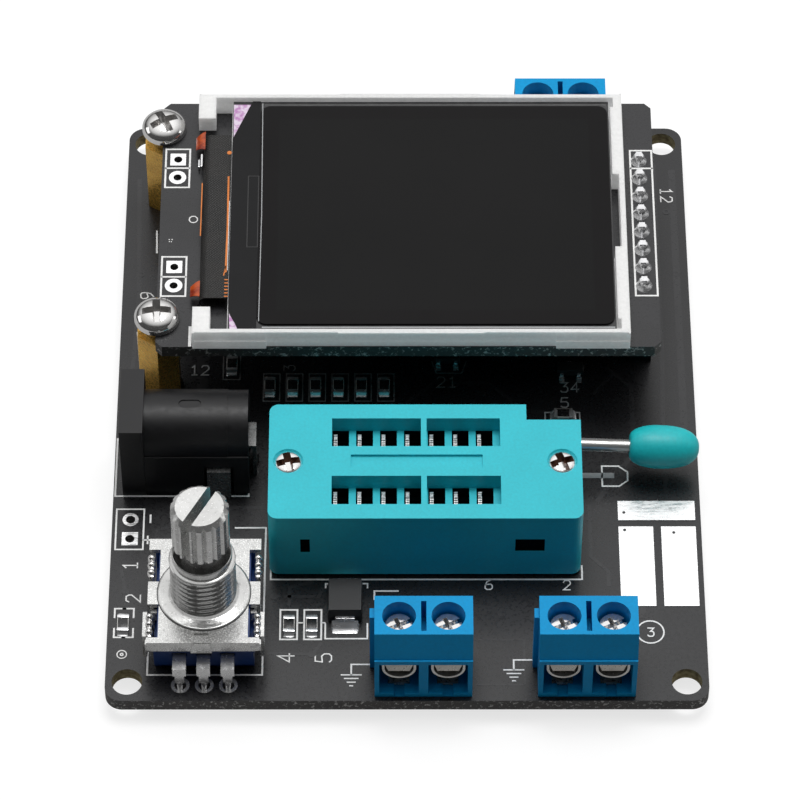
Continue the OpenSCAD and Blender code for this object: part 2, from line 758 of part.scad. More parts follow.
module lcd_frame() {
  inner_l = lcd_frame_l - 2 * lcd_frame_wall;
  open_l = lcd_frame_l - 2 * lcd_prong_l;
  floor_x0 = stack_x0 - layer_gap;
  bar_x0 = frame_x1 - lcd_frame_right_wall;
  lip = 0.25;
  pocket_l = 10.35;
  tier = lcd_frame_h * 0.45;
  color(WHITE)
    translate([0, frame_y, lcd_top])
      difference() {
        box([lcd_frame_w, lcd_frame_l, lcd_frame_h], [frame_x, 0, 0]);
        // Tray for the backlight and the glass
        block([frame_x0 + lcd_prong_w, -inner_l / 2, lcd_frame_floor],
          [bar_x0 - frame_x0 - lcd_prong_w, inner_l, lcd_frame_h]);
        // Left end, raised off the board and open between its two prongs
        block([frame_x0 - eps, -inner_l / 2, -eps],
          [floor_x0 - frame_x0 + eps, inner_l, lcd_prong_lift + eps]);
        block([frame_x0 - eps, -open_l / 2, -eps], [lcd_prong_w + 2 * eps, open_l, lcd_frame_h + 2 * eps]);
        // Pocket through the right bar
        block([bar_x0 - eps, 0.15 - pocket_l / 2, -eps],
          [lcd_frame_right_wall - lcd_frame_wall + eps, pocket_l, lcd_frame_h + 2 * eps]);
        // Reliefs at the inner corners of the right bar
        for (s = [-1, 1])
          block([bar_x0 - eps, s * (inner_l / 2 - 0.7) - 0.7, lcd_frame_floor],
            [eps + 0.35, 1.4, lcd_frame_h]);
        for (s = [-1, 1], x = [frame_x0 + lcd_clip_l, frame_x1 - lcd_clip_l]) {
          // Recessed middle of the front and back faces
          if (x < frame_x)
            block([x, s * lcd_frame_l / 2 - lcd_clip_t, -eps],
              [lcd_frame_w - 2 * lcd_clip_l, 2 * lcd_clip_t, lcd_frame_h - lip + eps]);
          // Upper tier of the clips
          box([2 * lcd_clip_l - 0.4, 0.24, lcd_frame_h], [x, s * lcd_frame_l / 2, tier]);
        }
      }
}

module lcd_backlight() {
  color([0.88, 0.90, 0.92])
    box([stack_w, stack_l, backlight_t], [stack_x, frame_y, backlight_z]);
}

module lcd_glass() {
  color([0.25, 0.27, 0.30])
    box([stack_w, stack_l, lcd_glass_t], [stack_x, frame_y, glass_z]);
}

module lcd_polarizer() {
  color(BLACK)
    translate([film_x, frame_y, film_z])
      linear_extrude(polarizer_t) rounded_rect(polarizer_w, polarizer_l, polarizer_r);
}

module lcd_tape() {
  w = tape_w / 2;
  l = stack_l / 2;
  color(BLACK)
    translate([tape_x, frame_y, film_z])
      linear_extrude(tape_t)
        polygon([[-w, 3 - l], [w * 0.75 - w, -l], [w, -l], [w, l], [w * 1.4 - w, l], [-w, l - 5.5]]);
}

// Flexible circuit: flat on the backlight, round over the edge and down to the display board
module lcd_flex() {
  bend_r = (glass_z + flex_t - lcd_top) / 2;
  flat_x1 = stack_x0 - layer_gap;
  flat_x0 = flat_x1 - flex_w + bend_r;
  foot_l = 0.9;
  color([0.12, 0.11, 0.10])
    translate([0, frame_y + 0.3 + flex_l / 2, 0])
      rotate([90, 0, 0])
        linear_extrude(flex_l) {
          translate([flat_x0, glass_z]) square([flat_x1 - flat_x0, flex_t]);
          translate([flat_x0, lcd_top + bend_r])
            intersection() {
              difference() {
                circle(bend_r);
                circle(bend_r - flex_t);
              }
              translate([-2 * bend_r, -bend_r]) square([2 * bend_r, 2 * bend_r]);
            }
          translate([flat_x0, lcd_top]) square([foot_l, flex_t]);
        }
}

module lcd_header_pins() {
  color(SOLDER)
    at_header_pins() {
      bottom = -small_joint_h + tip_cover;
      box([header_pin, header_pin, lcd_top + 1.2 - bottom], [0, 0, bottom]);
      translate([0, 0, lcd_top])
        mirror([0, 0, 1]) solder_joint(small_pad_d, header_pin * sqrt(2), 1);
    }
}

module lcd_header_strip() {
  strip_l = header_n * pitch;
  color(BLACK)
    difference() {
      box([strip_w, strip_l, strip_h], [header_x, lcd_y, lcd_z - strip_h]);
      at_header_pins() box([header_pin, header_pin, strip_h + 2 * eps], [0, 0, lcd_z - strip_h - eps]);
    }
}

module lcd_header_socket() {
  socket_l = header_n * pitch;
  color(BLACK)
    difference() {
      box([strip_w, socket_l, header_socket_h], [header_x, lcd_y, top]);
      at_header_pins() box([header_pin, header_pin, header_socket_h + 2 * eps], [0, 0, top - eps]);
      // Waist between the ways, on both long sides
      for (i = [0:header_n - 2], s = [-1, 1])
        translate([header_x + s * strip_w / 2, lcd_y + (i - (header_n - 2) / 2) * pitch, top - eps])
          cylinder(d = 0.5, h = header_socket_h + 2 * eps, $fn = 4);
    }
}

module lcd_standoffs() {
  color(BRASS)
    at_standoffs() translate([0, 0, top])
      difference() {
        rotate(30) cylinder(d = standoff_af / cos(30), h = standoff_h, $fn = 6);
        translate([0, 0, -eps]) cylinder(d = standoff_screw_d + 0.06, h = standoff_h + 2 * eps);
      }
}

module pan_screw(head_d, head_h, shank_d, shank_l) {
  difference() {
    union() {
      cylinder(d = head_d, h = head_h * 0.7);
      translate([0, 0, head_h * 0.7]) cylinder(d1 = head_d, d2 = head_d * 0.86, h = head_h * 0.3);
    }
    translate([0, 0, head_h]) cross_recess(head_d * 0.62, head_h * 0.65);
  }
  translate([0, 0, -shank_l]) cylinder(d = shank_d, h = shank_l);
}

module lcd_upper_screws() {
  color(METAL)
    for (s = [-1, 1])
      translate([standoff_x, lcd_y + s * standoff_pitch / 2, lcd_top])
        rotate(s > 0 ? 25 : 0)
          pan_screw(standoff_head_d, upper_head_h, standoff_screw_d, lcd_board_t + screw_grip);
}

module lcd_lower_screws() {
  color(METAL)
    at_standoffs() mirror([0, 0, 1]) rotate(35)
      pan_screw(standoff_head_d, tall_joint_h, standoff_screw_d, board_t + screw_grip);
}

// ---------- test socket ----------

module zif_outline() {
  difference() {
    translate([zif_x, zif_y]) rounded_rect(zif_w, zif_l, zif_corner_r);
    translate([zif_x1 - zif_notch_w, zif_y1 - zif_notch_l]) square([zif_notch_w + eps, zif_notch_l + eps]);
  }
}

module zif_base() {
  z0 = top + zif_foot;
  h = zif_split - zif_foot;
  well_w = zif_slot_w;
  well_z = top + 2;
  color(TURQUOISE)
    difference() {
      union() {
        translate([0, 0, z0]) linear_extrude(h) zif_outline();
        // Floor of the body goes on under the lever notch
        translate([0, 0, z0])
          linear_extrude(lever_z - lever_d / 2 - lever_gap - zif_foot - lever_pivot_inset * sin(lever_droop))
            translate([zif_x, zif_y]) rounded_rect(zif_w, zif_l, zif_corner_r);
        // Feet
        for (sx = [-1, 1], sy = [-1, 1])
          translate([zif_x, zif_y, top])
            box([2.4, 1.6, zif_foot + 0.1], [sx * (zif_w / 2 - 2.4), sy * (zif_l / 2 - 1.6), 0]);
      }
      // Channel of the slider
      block(
        [slider_x0 - zif_travel - 2 * zif_slide_gap, zif_y - slider_l / 2 - zif_slide_gap, zif_channel_z],
        [slider_x1 - slider_x0 + zif_travel + 4 * zif_slide_gap, slider_l + 2 * zif_slide_gap, zif_h]);
      // Wells of the contacts
      at_zif_slots() block([0, -1.3, well_z], [well_w, 2.6, zif_h]);
      at_zif_leads() translate([0, 0, top - eps]) cylinder(d = lead_hole_d, h = zif_h);
      // Bearing of the lever shaft, open at the back
      translate([lever_x, zif_y1 + eps, lever_top]) rotate([90, 0, 0])
        cylinder(d = lever_d + 2 * lever_gap, h = lever_channel_l + eps);
      block([lever_x - lever_d / 2 - lever_gap, zif_y1 - lever_channel_l, lever_top],
        [lever_d + 2 * lever_gap, lever_channel_l + eps, zif_h]);
      // Room for the crank
      block([lever_x - crank_r - crank_pin_d, crank_y - crank_w / 2 - 0.3, lever_top - crank_r - 0.3],
        [2 * (crank_r + crank_pin_d), crank_w + 0.6, zif_h]);
      at_zif_screws() translate([0, 0, top + 1.6]) cylinder(d = zif_screw_d + 0.06, h = zif_h);
      // Latch slots in the front face
      box([1, 1.2, 2.3], [zif_x0 + 3.85, zif_y0, top + zif_split - 2.3]);
      box([3.1, 1, 2.1], [zif_x1 - 5.5, zif_y0, top + zif_split - 2.1]);
    }
}

module zif_cover() {
  color(TURQUOISE)
    difference() {
      translate([0, 0, top + zif_split]) linear_extrude(zif_h - zif_split) zif_outline();
      // Troughs, each parted by a full-height web after the fourth slot
      for (row = [-1, 1])
        difference() {
          block([zif_slots_x0, zif_y + (row * zif_row_pitch - zif_trough_l) / 2, top + zif_h - zif_trough_d],
            [zif_row_n * pitch, zif_trough_l, zif_h]);
          block([zif_slots_x0 + 4 * pitch - zif_rib, zif_y + (row * zif_row_pitch - zif_trough_l) / 2, top],
            [zif_rib * 0.8, zif_trough_l, 2 * zif_h]);
        }
      at_zif_slots() block([0, -zif_trough_l / 2, top], [zif_slot_w, zif_trough_l, zif_h]);
      // Shallow panel between the troughs
      box([13.9, 1.6, 0.3 + eps], [zif_x - 0.9, zif_y + 0.05, top + zif_h - 0.3]);
      // Room above the crank
      block([lever_x - crank_r - crank_pin_d, crank_y - crank_w / 2 - 0.3, top],
        [2 * (crank_r + crank_pin_d), crank_w + 0.6, lever_top - top + crank_r + crank_pin_d / 2 + 0.3]);
      at_zif_screws() {
        drill(zif_screw_d + 0.2, top + zif_h);
        translate([0, 0, top + zif_h - 0.9])
          cylinder(d1 = zif_screw_d + 0.2, d2 = zif_screw_head_d + 0.2, h = 0.9);
        translate([0, 0, top + zif_h - 0.01]) cylinder(d = zif_screw_head_d + 0.2, h = 1);
      }
    }
}

module zif_slider() {
  x0 = slider_x0;
  z0 = zif_channel_z + zif_slide_gap / 2;
  color(TURQUOISE * 0.9)
    difference() {
      block([x0, zif_y - slider_l / 2, z0], [slider_x1 - x0, slider_l, zif_slider_t]);
      at_zif_slots() block([0, -1.4, top], [zif_slot_w, 2.8, zif_h]);
      // The lever shaft passes under the tail, and the crank pin works in its slot
      block([lever_x - lever_d / 2 - 2 * lever_gap, zif_y - slider_l / 2 - eps, top],
        [lever_d + 4 * lever_gap + zif_travel, slider_l + 2 * eps, lever_z + lever_d / 2 + 0.1]);
      block([lever_x - 1.35, crank_y - crank_w / 2 - 0.2, top], [2.7, crank_w + 0.4, zif_h]);
      translate([zif_x1 - zif_screw_inset + zif_travel / 2, zif_y, top])
        cube([zif_screw_d + zif_travel + 1, zif_screw_d + 1, 3 * zif_h], center = true);
    }
}

module zif_contacts() {
  leaf_top = top + zif_h - zif_trough_d - 0.1;
  color(METAL)
    at_zif_slots() {
      block([zif_leaf_x, -0.8, top + 2.4], [zif_leaf_t, 1.6, leaf_top - top - 2.4]);
      block([zif_leaf_x, -0.5, top + 2.4], [zif_slot_w / 2 - zif_leaf_x + lead_d / 2, 1, 0.35]);
      translate([zif_slot_w / 2, 0, 0]) lead(lead_d, small_joint_h, 2.5);
    }
}

module zif_lever() {
  rod_l = lever_reach - knob_l + knob_bore_l;
  shaft_l = lever_y - zif_y1 + lever_channel_l - 0.3;
  color(METAL)
    translate([lever_x, lever_y, lever_top]) {
      rotate([0, 90 + lever_droop, 0]) cylinder(d = lever_d, h = rod_l);
      sphere(d = lever_d);
      rotate([90, 0, 0]) cylinder(d = lever_d, h = shaft_l);
      // Crank arm and pin that push the slider
      translate([0, crank_y - lever_y, 0]) {
        box([crank_pin_d, crank_w, crank_r + crank_pin_d / 2], [0, 0, 0]);
      }
    }
}

// Egg-shaped knob: an elliptic nose up to the widest ring and a fuller, blunt tail
module zif_lever_knob() {
  n = 10;
  neck_r = 1.1;
  big_r = knob_d / 2;
  nose_l = knob_l * 0.41;
  tail_l = knob_l - nose_l;
  nose = [for (i = [0:n]) let (a = 90 * i / n) [
    neck_r + (big_r - neck_r) * sin(a), nose_l * (1 - cos(a))]];
  tail = [for (i = [1:n]) let (a = 90 * i / n) [
    big_r * pow(cos(a), 0.8), nose_l + tail_l * pow(sin(a), 0.8)]];
  color(TURQUOISE)
    translate([lever_x, lever_y, lever_top])
      rotate([0, 90 + lever_droop, 0]) translate([0, 0, lever_reach - knob_l])
        difference() {
          rotate_extrude() polygon(concat([[0, 0]], nose, tail));
          translate([0, 0, -eps]) cylinder(d = lever_d, h = knob_bore_l + eps);
        }
}

module zif_cover_screws() {
  color(METAL)
    at_zif_screws() {
      translate([0, 0, top + 1.9]) cylinder(d = zif_screw_d, h = zif_h - 1.9 - 0.8);
      difference() {
        translate([0, 0, top + zif_h - 0.85])
          cylinder(d1 = zif_screw_d, d2 = zif_screw_head_d, h = 0.85);
        translate([0, 0, top + zif_h]) cross_recess(zif_screw_head_d * 0.6, 0.6);
      }
    }
}

// ---------- encoder ----------

module encoder_base() {
  base_w = enc_w - 2 * enc_sheet - 0.1;
  base_h = enc_h - enc_sheet;
  color([0.10, 0.25, 0.55])
    translate([enc_x, enc_y, top])
      difference() {
        box([base_w, enc_base_l, base_h], [0, enc_base_y, 0]);
        // Sides step in beside the frame's hooks
        for (s = [-1, 1]) box([0.8, 11, 3], [s * base_w / 2, 0, base_h - 2.6]);
        // Front face steps back near the board
        box([base_w + 2 * eps, 2, 2.2], [0, enc_base_y - enc_base_l / 2, -eps]);
        translate([0, 0, rotor_z - 0.15]) cylinder(d = rotor_d + 0.4, h = base_h);
        translate([0, 0, dome_pocket_z]) cylinder(d = 5.4, h = base_h);
        // Slots where the front leads enter
        for (i = [-1:1]) box([1.6, 2.4, 0.5], [i * enc_pin_pitch, enc_base_y - enc_base_l / 2, 3.3]);
        for (s = [-1, 1]) box([1.1, 2.4, 0.5], [s * enc_pin_pitch, enc_base_y + enc_base_l / 2, 3.3]);
      }
}

module encoder_frame() {
  y0 = -enc_front;
  y1 = enc_back;
  side_l = enc_notch_back[0] - enc_notch_front[1];
  tongue_t = 0.15;
  tongue_w = 1.8;
  color(METAL)
    translate([enc_x, enc_y, top]) {
      difference() {
        block([-enc_w / 2, y0, enc_h - enc_sheet], [enc_w, y1 - y0, enc_sheet]);
        for (s = [-1, 1], n = [enc_notch_back, enc_notch_front])
          block([s * enc_w / 2 - enc_notch, n[0], 0], [2 * enc_notch, n[1] - n[0], 2 * enc_h]);
        drill(bushing_d - 0.9, enc_h);
        // Dent where the tongue is folded
        box([tongue_w * 0.85, 0.35, 0.2 + eps], [-0.18, y0 + 1.05, enc_h - 0.2]);
      }
      // Front and back skirts, round at their lower corners
      for (y = [y0, y1 - enc_sheet]) encoder_skirt(y);
      // Folded tongue, proud of the front skirt and wider at its foot
      translate([-0.18, y0 + 0.01, enc_h - enc_skirt - 0.15]) rotate([90, 0, 0])
        linear_extrude(tongue_t)
          polygon([
            [-tongue_w * 0.62, 0], [tongue_w * 0.62, 0],
            [tongue_w / 2, enc_skirt], [-tongue_w / 2, enc_skirt]
          ]);
      for (s = [-1, 1]) translate([s * (enc_w / 2 - enc_sheet / 2), 0, 0]) {
        // Lug through the board
        box([enc_sheet, enc_lug_w, enc_h - tab_bottom], [0, 0, tab_bottom]);
        // Side wall above the lug
        box([enc_sheet, side_l, 3], [0, (enc_notch_back[0] + enc_notch_front[1]) / 2, enc_h - 3]);
        // Bent-in hooks at the ends of the side wall
        for (y = [enc_notch_back[0] + 0.25, enc_notch_front[1] - 0.25])
          translate([-s * 0.35, y, enc_h - 2.2]) box([enc_sheet, 0.5, 1.3], [0, 0, 0]);
      }
      // Folded ears that grip the base, with a loop at their top
      for (s = [-1, 1]) {
        translate([s * (enc_w / 2 + 0.25), 0, 0])
          box([enc_sheet * 0.7, 3.1, 3.6], [0, (enc_notch_front[0] + enc_notch_front[1]) / 2, enc_h - 4.2]);
        translate([s * (enc_w / 2 - 0.2), 0, 0])
          box([0.7, 0.6, 1.2], [0, enc_notch_front[0], enc_h - 2]);
      }
    }
}

module encoder_skirt(y) {
  r = 0.6;
  translate([0, y + enc_sheet, enc_h - enc_skirt]) rotate([90, 0, 0])
    linear_extrude(enc_sheet) {
      translate([-enc_w / 2, r]) square([enc_w, enc_skirt - r]);
      translate([-enc_w / 2 + r, 0]) square([enc_w - 2 * r, enc_skirt]);
      for (s = [-1, 1]) translate([s * (enc_w / 2 - r), r]) circle(r);
    }
}

module encoder_bushing() {
  bore = journal_d + 2 * journal_gap;
  color(METAL * 0.9)
    translate([enc_x, enc_y, top + enc_h])
      difference() {
        union() {
          cylinder(d = boss_d, h = boss_h);
          cylinder(d = bushing_d, h = bushing_h - bushing_lead_h);
          cylinder(d = bushing_lead_d, h = bushing_h);
          translate([0, 0, -enc_sheet]) cylinder(d = bushing_d - 1, h = enc_sheet + 0.1);
        }
        translate([0, 0, -enc_sheet - eps]) cylinder(d = bore, h = bushing_h + enc_sheet + 2 * eps);
        translate([0, 0, bushing_h - 0.4]) cylinder(d1 = bore, d2 = bore + 0.6, h = 0.41);
      }
}

module encoder_rotor() {
  color(WHITE * 0.9)
    translate([enc_x, enc_y, top + rotor_z])
      difference() {
        cylinder(d = rotor_d, h = rotor_t);
        rotor_socket(journal_d - 0.8 + 0.2, rotor_t);
      }
}

// D-shaped hole, or the D-shaped tail that it drives
module rotor_socket(d, h) {
  translate([0, 0, -eps])
    intersection() {
      cylinder(d = d, h = h + 2 * eps);
      block([-d / 2, -d / 2, 0], [d, d * 0.82, h + 2 * eps]);
    }
}

module encoder_shaft() {
  groove_w = PI * shaft_d / spline_n * 0.39;
  chamfer = 0.5;
  top_z = enc_h + shaft_top;
  spline_z = top_z - spline_l;
  tail_d = journal_d - 0.8;
  journal_z = enc_h - 0.4;
  color(METAL)
    translate([enc_x, enc_y, top])
      difference() {
        union() {
          translate([0, 0, shaft_bottom])
            intersection() {
              cylinder(d = tail_d, h = journal_z - shaft_bottom + 0.01);
              block([-tail_d / 2, -tail_d / 2, 0],
                [tail_d, tail_d * 0.82, journal_z - shaft_bottom + 0.01]);
            }
          translate([0, 0, journal_z]) cylinder(d = journal_d, h = spline_z - journal_z);
          translate([0, 0, spline_z]) cylinder(d = shaft_d, h = spline_l - chamfer);
          translate([0, 0, top_z - chamfer]) cylinder(d1 = shaft_d, d2 = shaft_d - 2 * chamfer, h = chamfer);
        }
        // Grooves between the splines
        for (i = [0:spline_n - 1])
          rotate(i * 360 / spline_n)
            translate([shaft_d / 2, 0, spline_z - eps])
              rotate(45) cube([groove_w, groove_w, 2 * (spline_l + eps)], center = true);
        // Slot across the end
        rotate(shaft_slot_angle)
          box([2 * shaft_d, shaft_slot_w, shaft_slot_d + eps], [0, 0, top_z - shaft_slot_d]);
      }
}

module encoder_dome() {
  color(METAL)
    translate([enc_x, enc_y, top + dome_pocket_z])
      difference() {
        union() {
          cylinder(d = 5, h = 0.3);
          translate([0, 0, 0.3]) cylinder(d1 = 4.4, d2 = 2, h = 0.6);
        }
        translate([0, 0, -0.1]) cylinder(d1 = 4.2, d2 = 1.6, h = 0.85);
      }
}

// Flat leads that leave the base, bend down and pass through the board
module encoder_pins() {
  strip_z = 3.35;
  strip_t = 0.3;
  color(SOLDER)
    translate([enc_x, enc_y, 0]) {
      for (i = [-1:1])
        translate([i * enc_pin_pitch, -enc_front - enc_pin_out, 0]) bent_lead(1.4, 1, strip_z, strip_t);
      for (s = [-1, 1])
        translate([s * enc_pin_pitch, enc_back + 0.6, 0]) bent_lead(0.9, -1, strip_z, strip_t);
    }
}

// The strip steps down to a narrower leg where it bends
module bent_lead(w, dir, z, t) {
  run = dir > 0 ? enc_pin_out + 1.6 : 2;
  block([-w / 2, dir > 0 ? -0.2 : -run + 0.2, top + z], [w, run, t]);
  block([-w / 2, -0.2, top + z - 0.9], [w, 0.4, 0.9 + t]);
  block([-w * 0.35, -0.2, top + 1.2], [w * 0.7, 0.4, z - 1.2 + t]);
  lead(lead_d, tall_joint_h, 1.3);
}

// ---------- power jack ----------

module along_jack(x) translate([x, 0, jack_axis_z]) rotate([0, 90, 0]) children();

module jack_housing() {
  body_l = jack_l - jack_flange_t;
  foot = 0.4;
  rear_l = 2.2;
  dimple_l = 2.4;
  dimple_w = 1.05;
  color(BLACK)
    translate([jack_x0, jack_y, top])
      difference() {
        union() {
          block([0, -jack_flange_w / 2, 0], [jack_flange_t, jack_flange_w, jack_h]);
          block([0, -jack_barrel_r, 0], [jack_l, 2 * jack_barrel_r, jack_axis_z]);
          along_jack(0) cylinder(r = jack_barrel_r, h = jack_l - rear_l);
          along_jack(0) cylinder(r = jack_barrel_r - 0.08, h = jack_l);
          // Panel along both sides below the barrel, with its edge as a fine ridge
          block([jack_flange_t, -jack_barrel_r - 0.15, 1.8],
            [body_l, 2 * jack_barrel_r + 0.3, jack_axis_z - 1.8]);
        }
        along_jack(-eps) cylinder(d = jack_bore_d, h = jack_bore_l + eps);
        // Wall between bore and chamber, with the hole of the pin's shank
        along_jack(jack_bore_l - eps)
          cylinder(d = jack_shank_d + 0.1, h = jack_chamber_x - jack_bore_l + 2 * eps);
        block([jack_chamber_x, -jack_rear_plate_w / 2 - 0.2, jack_axis_z - 2.4],
          [jack_l, jack_rear_plate_w + 0.4, 3.7]);
        block([jack_l - 1, -jack_rear_plate_w / 2 - 0.2, -eps],
          [2, jack_rear_plate_w + 0.4, jack_axis_z + 1.3]);
        // Chamber under the bore for the sleeve spring
        block([4.2, -1.3, -eps], [4.3, 2.6, jack_axis_z]);
        // Chamber for the switch contact at the side
        block([jack_side_tab_x - jack_x0 - jack_side_tab_w / 2 - 0.3, -jack_barrel_r - 1, -eps],
          [jack_side_tab_w + 0.6, 2.2, 4.8 + eps]);
        // Oblong dimple on top
        translate([7.42, 0, jack_axis_z + jack_barrel_r - 0.15]) linear_extrude(1)
          rounded_rect(dimple_l, dimple_w, dimple_w / 2 - 0.01);
        // Underside stands on a rim
        block([3.2, -jack_barrel_r + 0.8, -eps], [jack_l - 4.2, 2 * jack_barrel_r - 1.6, foot + eps]);
      }
}

module jack_center_pin() {
  tip = 0.4;
  plate_z = jack_axis_z - 1.7;
  color(METAL)
    translate([jack_x0, jack_y, top]) {
      along_jack(jack_pin_recess + tip) cylinder(d = jack_pin_d, h = jack_shank_x - jack_pin_recess - tip);
      along_jack(jack_shank_x - 0.1) cylinder(d = jack_shank_d, h = jack_l - 1 - jack_shank_x + 0.1);
      along_jack(jack_pin_recess) cylinder(d1 = jack_pin_d - 2 * tip, d2 = jack_pin_d, h = tip + 0.01);
      // Rear plate, then out and down through the board
      block([jack_l - 1, -jack_rear_plate_w / 2, plate_z], [jack_contact_t, jack_rear_plate_w, 2.6]);
      block([jack_l - 1, -jack_rear_plate_w / 2, plate_z],
        [1.55 + jack_contact_t / 2, jack_rear_plate_w, jack_contact_t]);
      block([jack_rear_tab_x - jack_x0 - jack_contact_t / 2, -jack_rear_plate_w / 2, 0],
        [jack_contact_t, jack_rear_plate_w, plate_z + jack_contact_t]);
      block([jack_rear_tab_x - jack_x0 - jack_contact_t / 2, -jack_tab_w / 2, tab_bottom],
        [jack_contact_t, jack_tab_w, 0.1 - tab_bottom]);
    }
}

// Sleeve spring under the plug: a flat tab through the board and a blade that rises into the bore
module jack_spring() {
  blade_z = jack_axis_z - jack_bore_d / 2;
  tab_x = jack_sleeve_tab_x - jack_x0;
  color(METAL)
    translate([jack_x0, jack_y, top])
      translate([0, jack_tab_w / 2, 0]) rotate([90, 0, 0]) linear_extrude(jack_tab_w) {
        translate([tab_x - jack_contact_t / 2, tab_bottom])
          square([jack_contact_t, blade_z - tab_bottom]);
        polygon([
          [tab_x + jack_contact_t / 2, blade_z - 0.4], [tab_x + jack_contact_t / 2, blade_z],
          [5.6, blade_z + 0.5], [4.6, blade_z - 0.1], [4.6, blade_z - 0.5], [5.6, blade_z + 0.1]
        ]);
      }
}

module jack_side_contact() {
  tab_x = jack_side_tab_x - jack_x0;
  wall_y = jack_side_tab_y - jack_y;
  color(METAL)
    translate([jack_x0, jack_y, top]) {
      block([tab_x - jack_side_tab_w / 2, wall_y - jack_contact_t / 2, 0],
        [jack_side_tab_w, jack_contact_t, 4.6]);
      block([tab_x - jack_tab_w / 2, wall_y - jack_contact_t / 2, tab_bottom],
        [jack_tab_w, jack_contact_t, 0.1 - tab_bottom]);
      block([tab_x - jack_side_tab_w / 2, wall_y - jack_contact_t / 2, 4.6 - jack_contact_t],
        [jack_side_tab_w, 1.4, jack_contact_t]);
    }
}

// ---------- screw terminals ----------

module terminal_profile() {
  polygon([
    [0, 0], [-term_l, 0], [-term_l, term_ledge_z], [-term_l + term_ledge, term_ledge_z],
    [-term_top_l, term_h], [0, term_h]
  ]);
}

module terminal_housing() {
  front_y = -term_l + term_axis;
  color(TERMINAL_BLUE)
    difference() {
      union() {
        translate([-term_w / 2, 0, 0]) rotate([90, 0, 90]) linear_extrude(term_w) terminal_profile();
        // Rail on the left side that joins two terminals
        block([-term_w / 2 - 0.5, -2.2, 0], [0.6, 1.2, term_h - 0.8]);
      }
      at_poles() {
        // Screw well
        translate([0, 0, term_ceiling - 0.1]) cylinder(d = term_well_d, h = term_h);
        // Wire opening
        block([-term_port_w / 2, front_y - eps, term_port_bottom],
          [term_port_w, term_lip + 2 * eps, term_port_top - term_port_bottom]);
        // Chamber behind it, with its floor a step lower
        block([-term_port_w / 2, front_y + term_lip, term_port_bottom],
          [term_port_w, term_l - term_lip - term_back_wall, term_ceiling - term_port_bottom]);
        block([-term_port_w / 2, front_y + term_step_l, term_floor_step],
          [term_port_w, term_l - term_step_l - term_back_wall, term_port_bottom]);
        // Notch in the front of the floor
        block([-term_notch_w / 2, front_y - eps, 0.15],
          [term_notch_w, term_step_l + 2 * eps, term_port_bottom]);
        translate([0, 0, -eps]) cylinder(d = stout_hole_d, h = term_port_bottom + 2 * eps);
      }
      // Groove that takes the next terminal's rail
      block([term_w / 2 - 0.45, -2.3, -eps], [1, 1.4, term_h - 0.6 + eps]);
      // Slot between the screw wells
      block([-term_slot_w / 2, -term_axis - 1.9, term_ceiling + 0.4], [term_slot_w, 3.75, term_h]);
    }
}

// Fixed contact: threaded block at the top, strip down the back and along the floor, lead below
module terminal_contact() {
  y0 = block_y0 + term_axis;
  y1 = block_y1 + term_axis;
  bottom = term_ceiling - block_h;
  color(METAL * 0.85) {
    difference() {
      translate([0, y1, 0]) rotate([90, 0, 0]) linear_extrude(y1 - y0)
        polygon([
          [-block_w / 2, term_ceiling], [-block_w / 2, term_ceiling - 1.2], [-block_foot_w / 2, bottom],
          [block_foot_w / 2, bottom], [block_w / 2, term_ceiling - 1.2], [block_w / 2, term_ceiling]
        ]);
      translate([0, 0, bottom - eps]) cylinder(d = clamp_screw_d + 2 * clamp_gap, h = block_h + 2 * eps);
    }
    block([-block_foot_w / 2, y1 - contact_t, term_floor_step],
      [block_foot_w, contact_t, bottom + 0.1 - term_floor_step]);
    block([-block_foot_w / 2, -term_l + term_axis + term_step_l + 0.1, term_floor_step],
      [block_foot_w, y1 + term_l - term_axis - term_step_l - 0.1, contact_t]);
    translate([0, 0, -top]) lead(stout_lead_d, tall_joint_h, term_floor_step + 0.1);
  }
}

// Sprung wire guard: a strip bent into a U that hangs around the block, under the screw's tip
module terminal_guard() {
  r = guard_w / 2;
  front_y = -term_l + term_axis + term_lip + 0.02;
  guard_l = 4;
  arm_top = term_port_top - 0.1;
  color(METAL * 0.9)
    translate([0, front_y + guard_l, guard_bottom + r])
      rotate([90, 0, 0]) linear_extrude(guard_l) {
        difference() {
          circle(r);
          circle(r - guard_t);
          translate([-2 * r, 0]) square([4 * r, 2 * r]);
        }
        for (s = [-1, 1])
          translate([s * (r - guard_t / 2) - guard_t / 2, 0]) square([guard_t, arm_top - guard_bottom - r]);
      }
}

module terminal_screw() {
  tip_z = guard_bottom + guard_t + 0.12;
  tip_l = 0.7;
  head_z = term_h - clamp_screw_sink;
  rim_t = 0.2;
  color(METAL)
    difference() {
      union() {
        translate([0, 0, tip_z]) cylinder(d1 = clamp_screw_d - 1.4, d2 = clamp_screw_d, h = tip_l);
        translate([0, 0, tip_z + tip_l]) cylinder(d = clamp_screw_d, h = head_z - tip_z - tip_l);
        translate([0, 0, head_z - rim_t]) cylinder(d = clamp_rim_d, h = rim_t);
      }
      translate([0, 0, head_z]) rotate(25) cross_recess(clamp_screw_d * 0.75, 0.9);
      translate([0, 0, head_z]) rotate(25) box([clamp_rim_d + 1, 0.5, 0.6 + eps], [0, 0, -0.6]);
    }
}

module terminal_contacts() at_poles() terminal_contact();

module left_terminal_housing() at_left_terminal() terminal_housing();
module left_terminal_contacts() at_left_terminal() terminal_contacts();
module left_terminal_guard_a() at_left_terminal() at_pole(-1) terminal_guard();
module left_terminal_guard_b() at_left_terminal() at_pole(1) terminal_guard();
module left_terminal_screw_a() at_left_terminal() at_pole(-1) terminal_screw();
module left_terminal_screw_b() at_left_terminal() at_pole(1) terminal_screw();

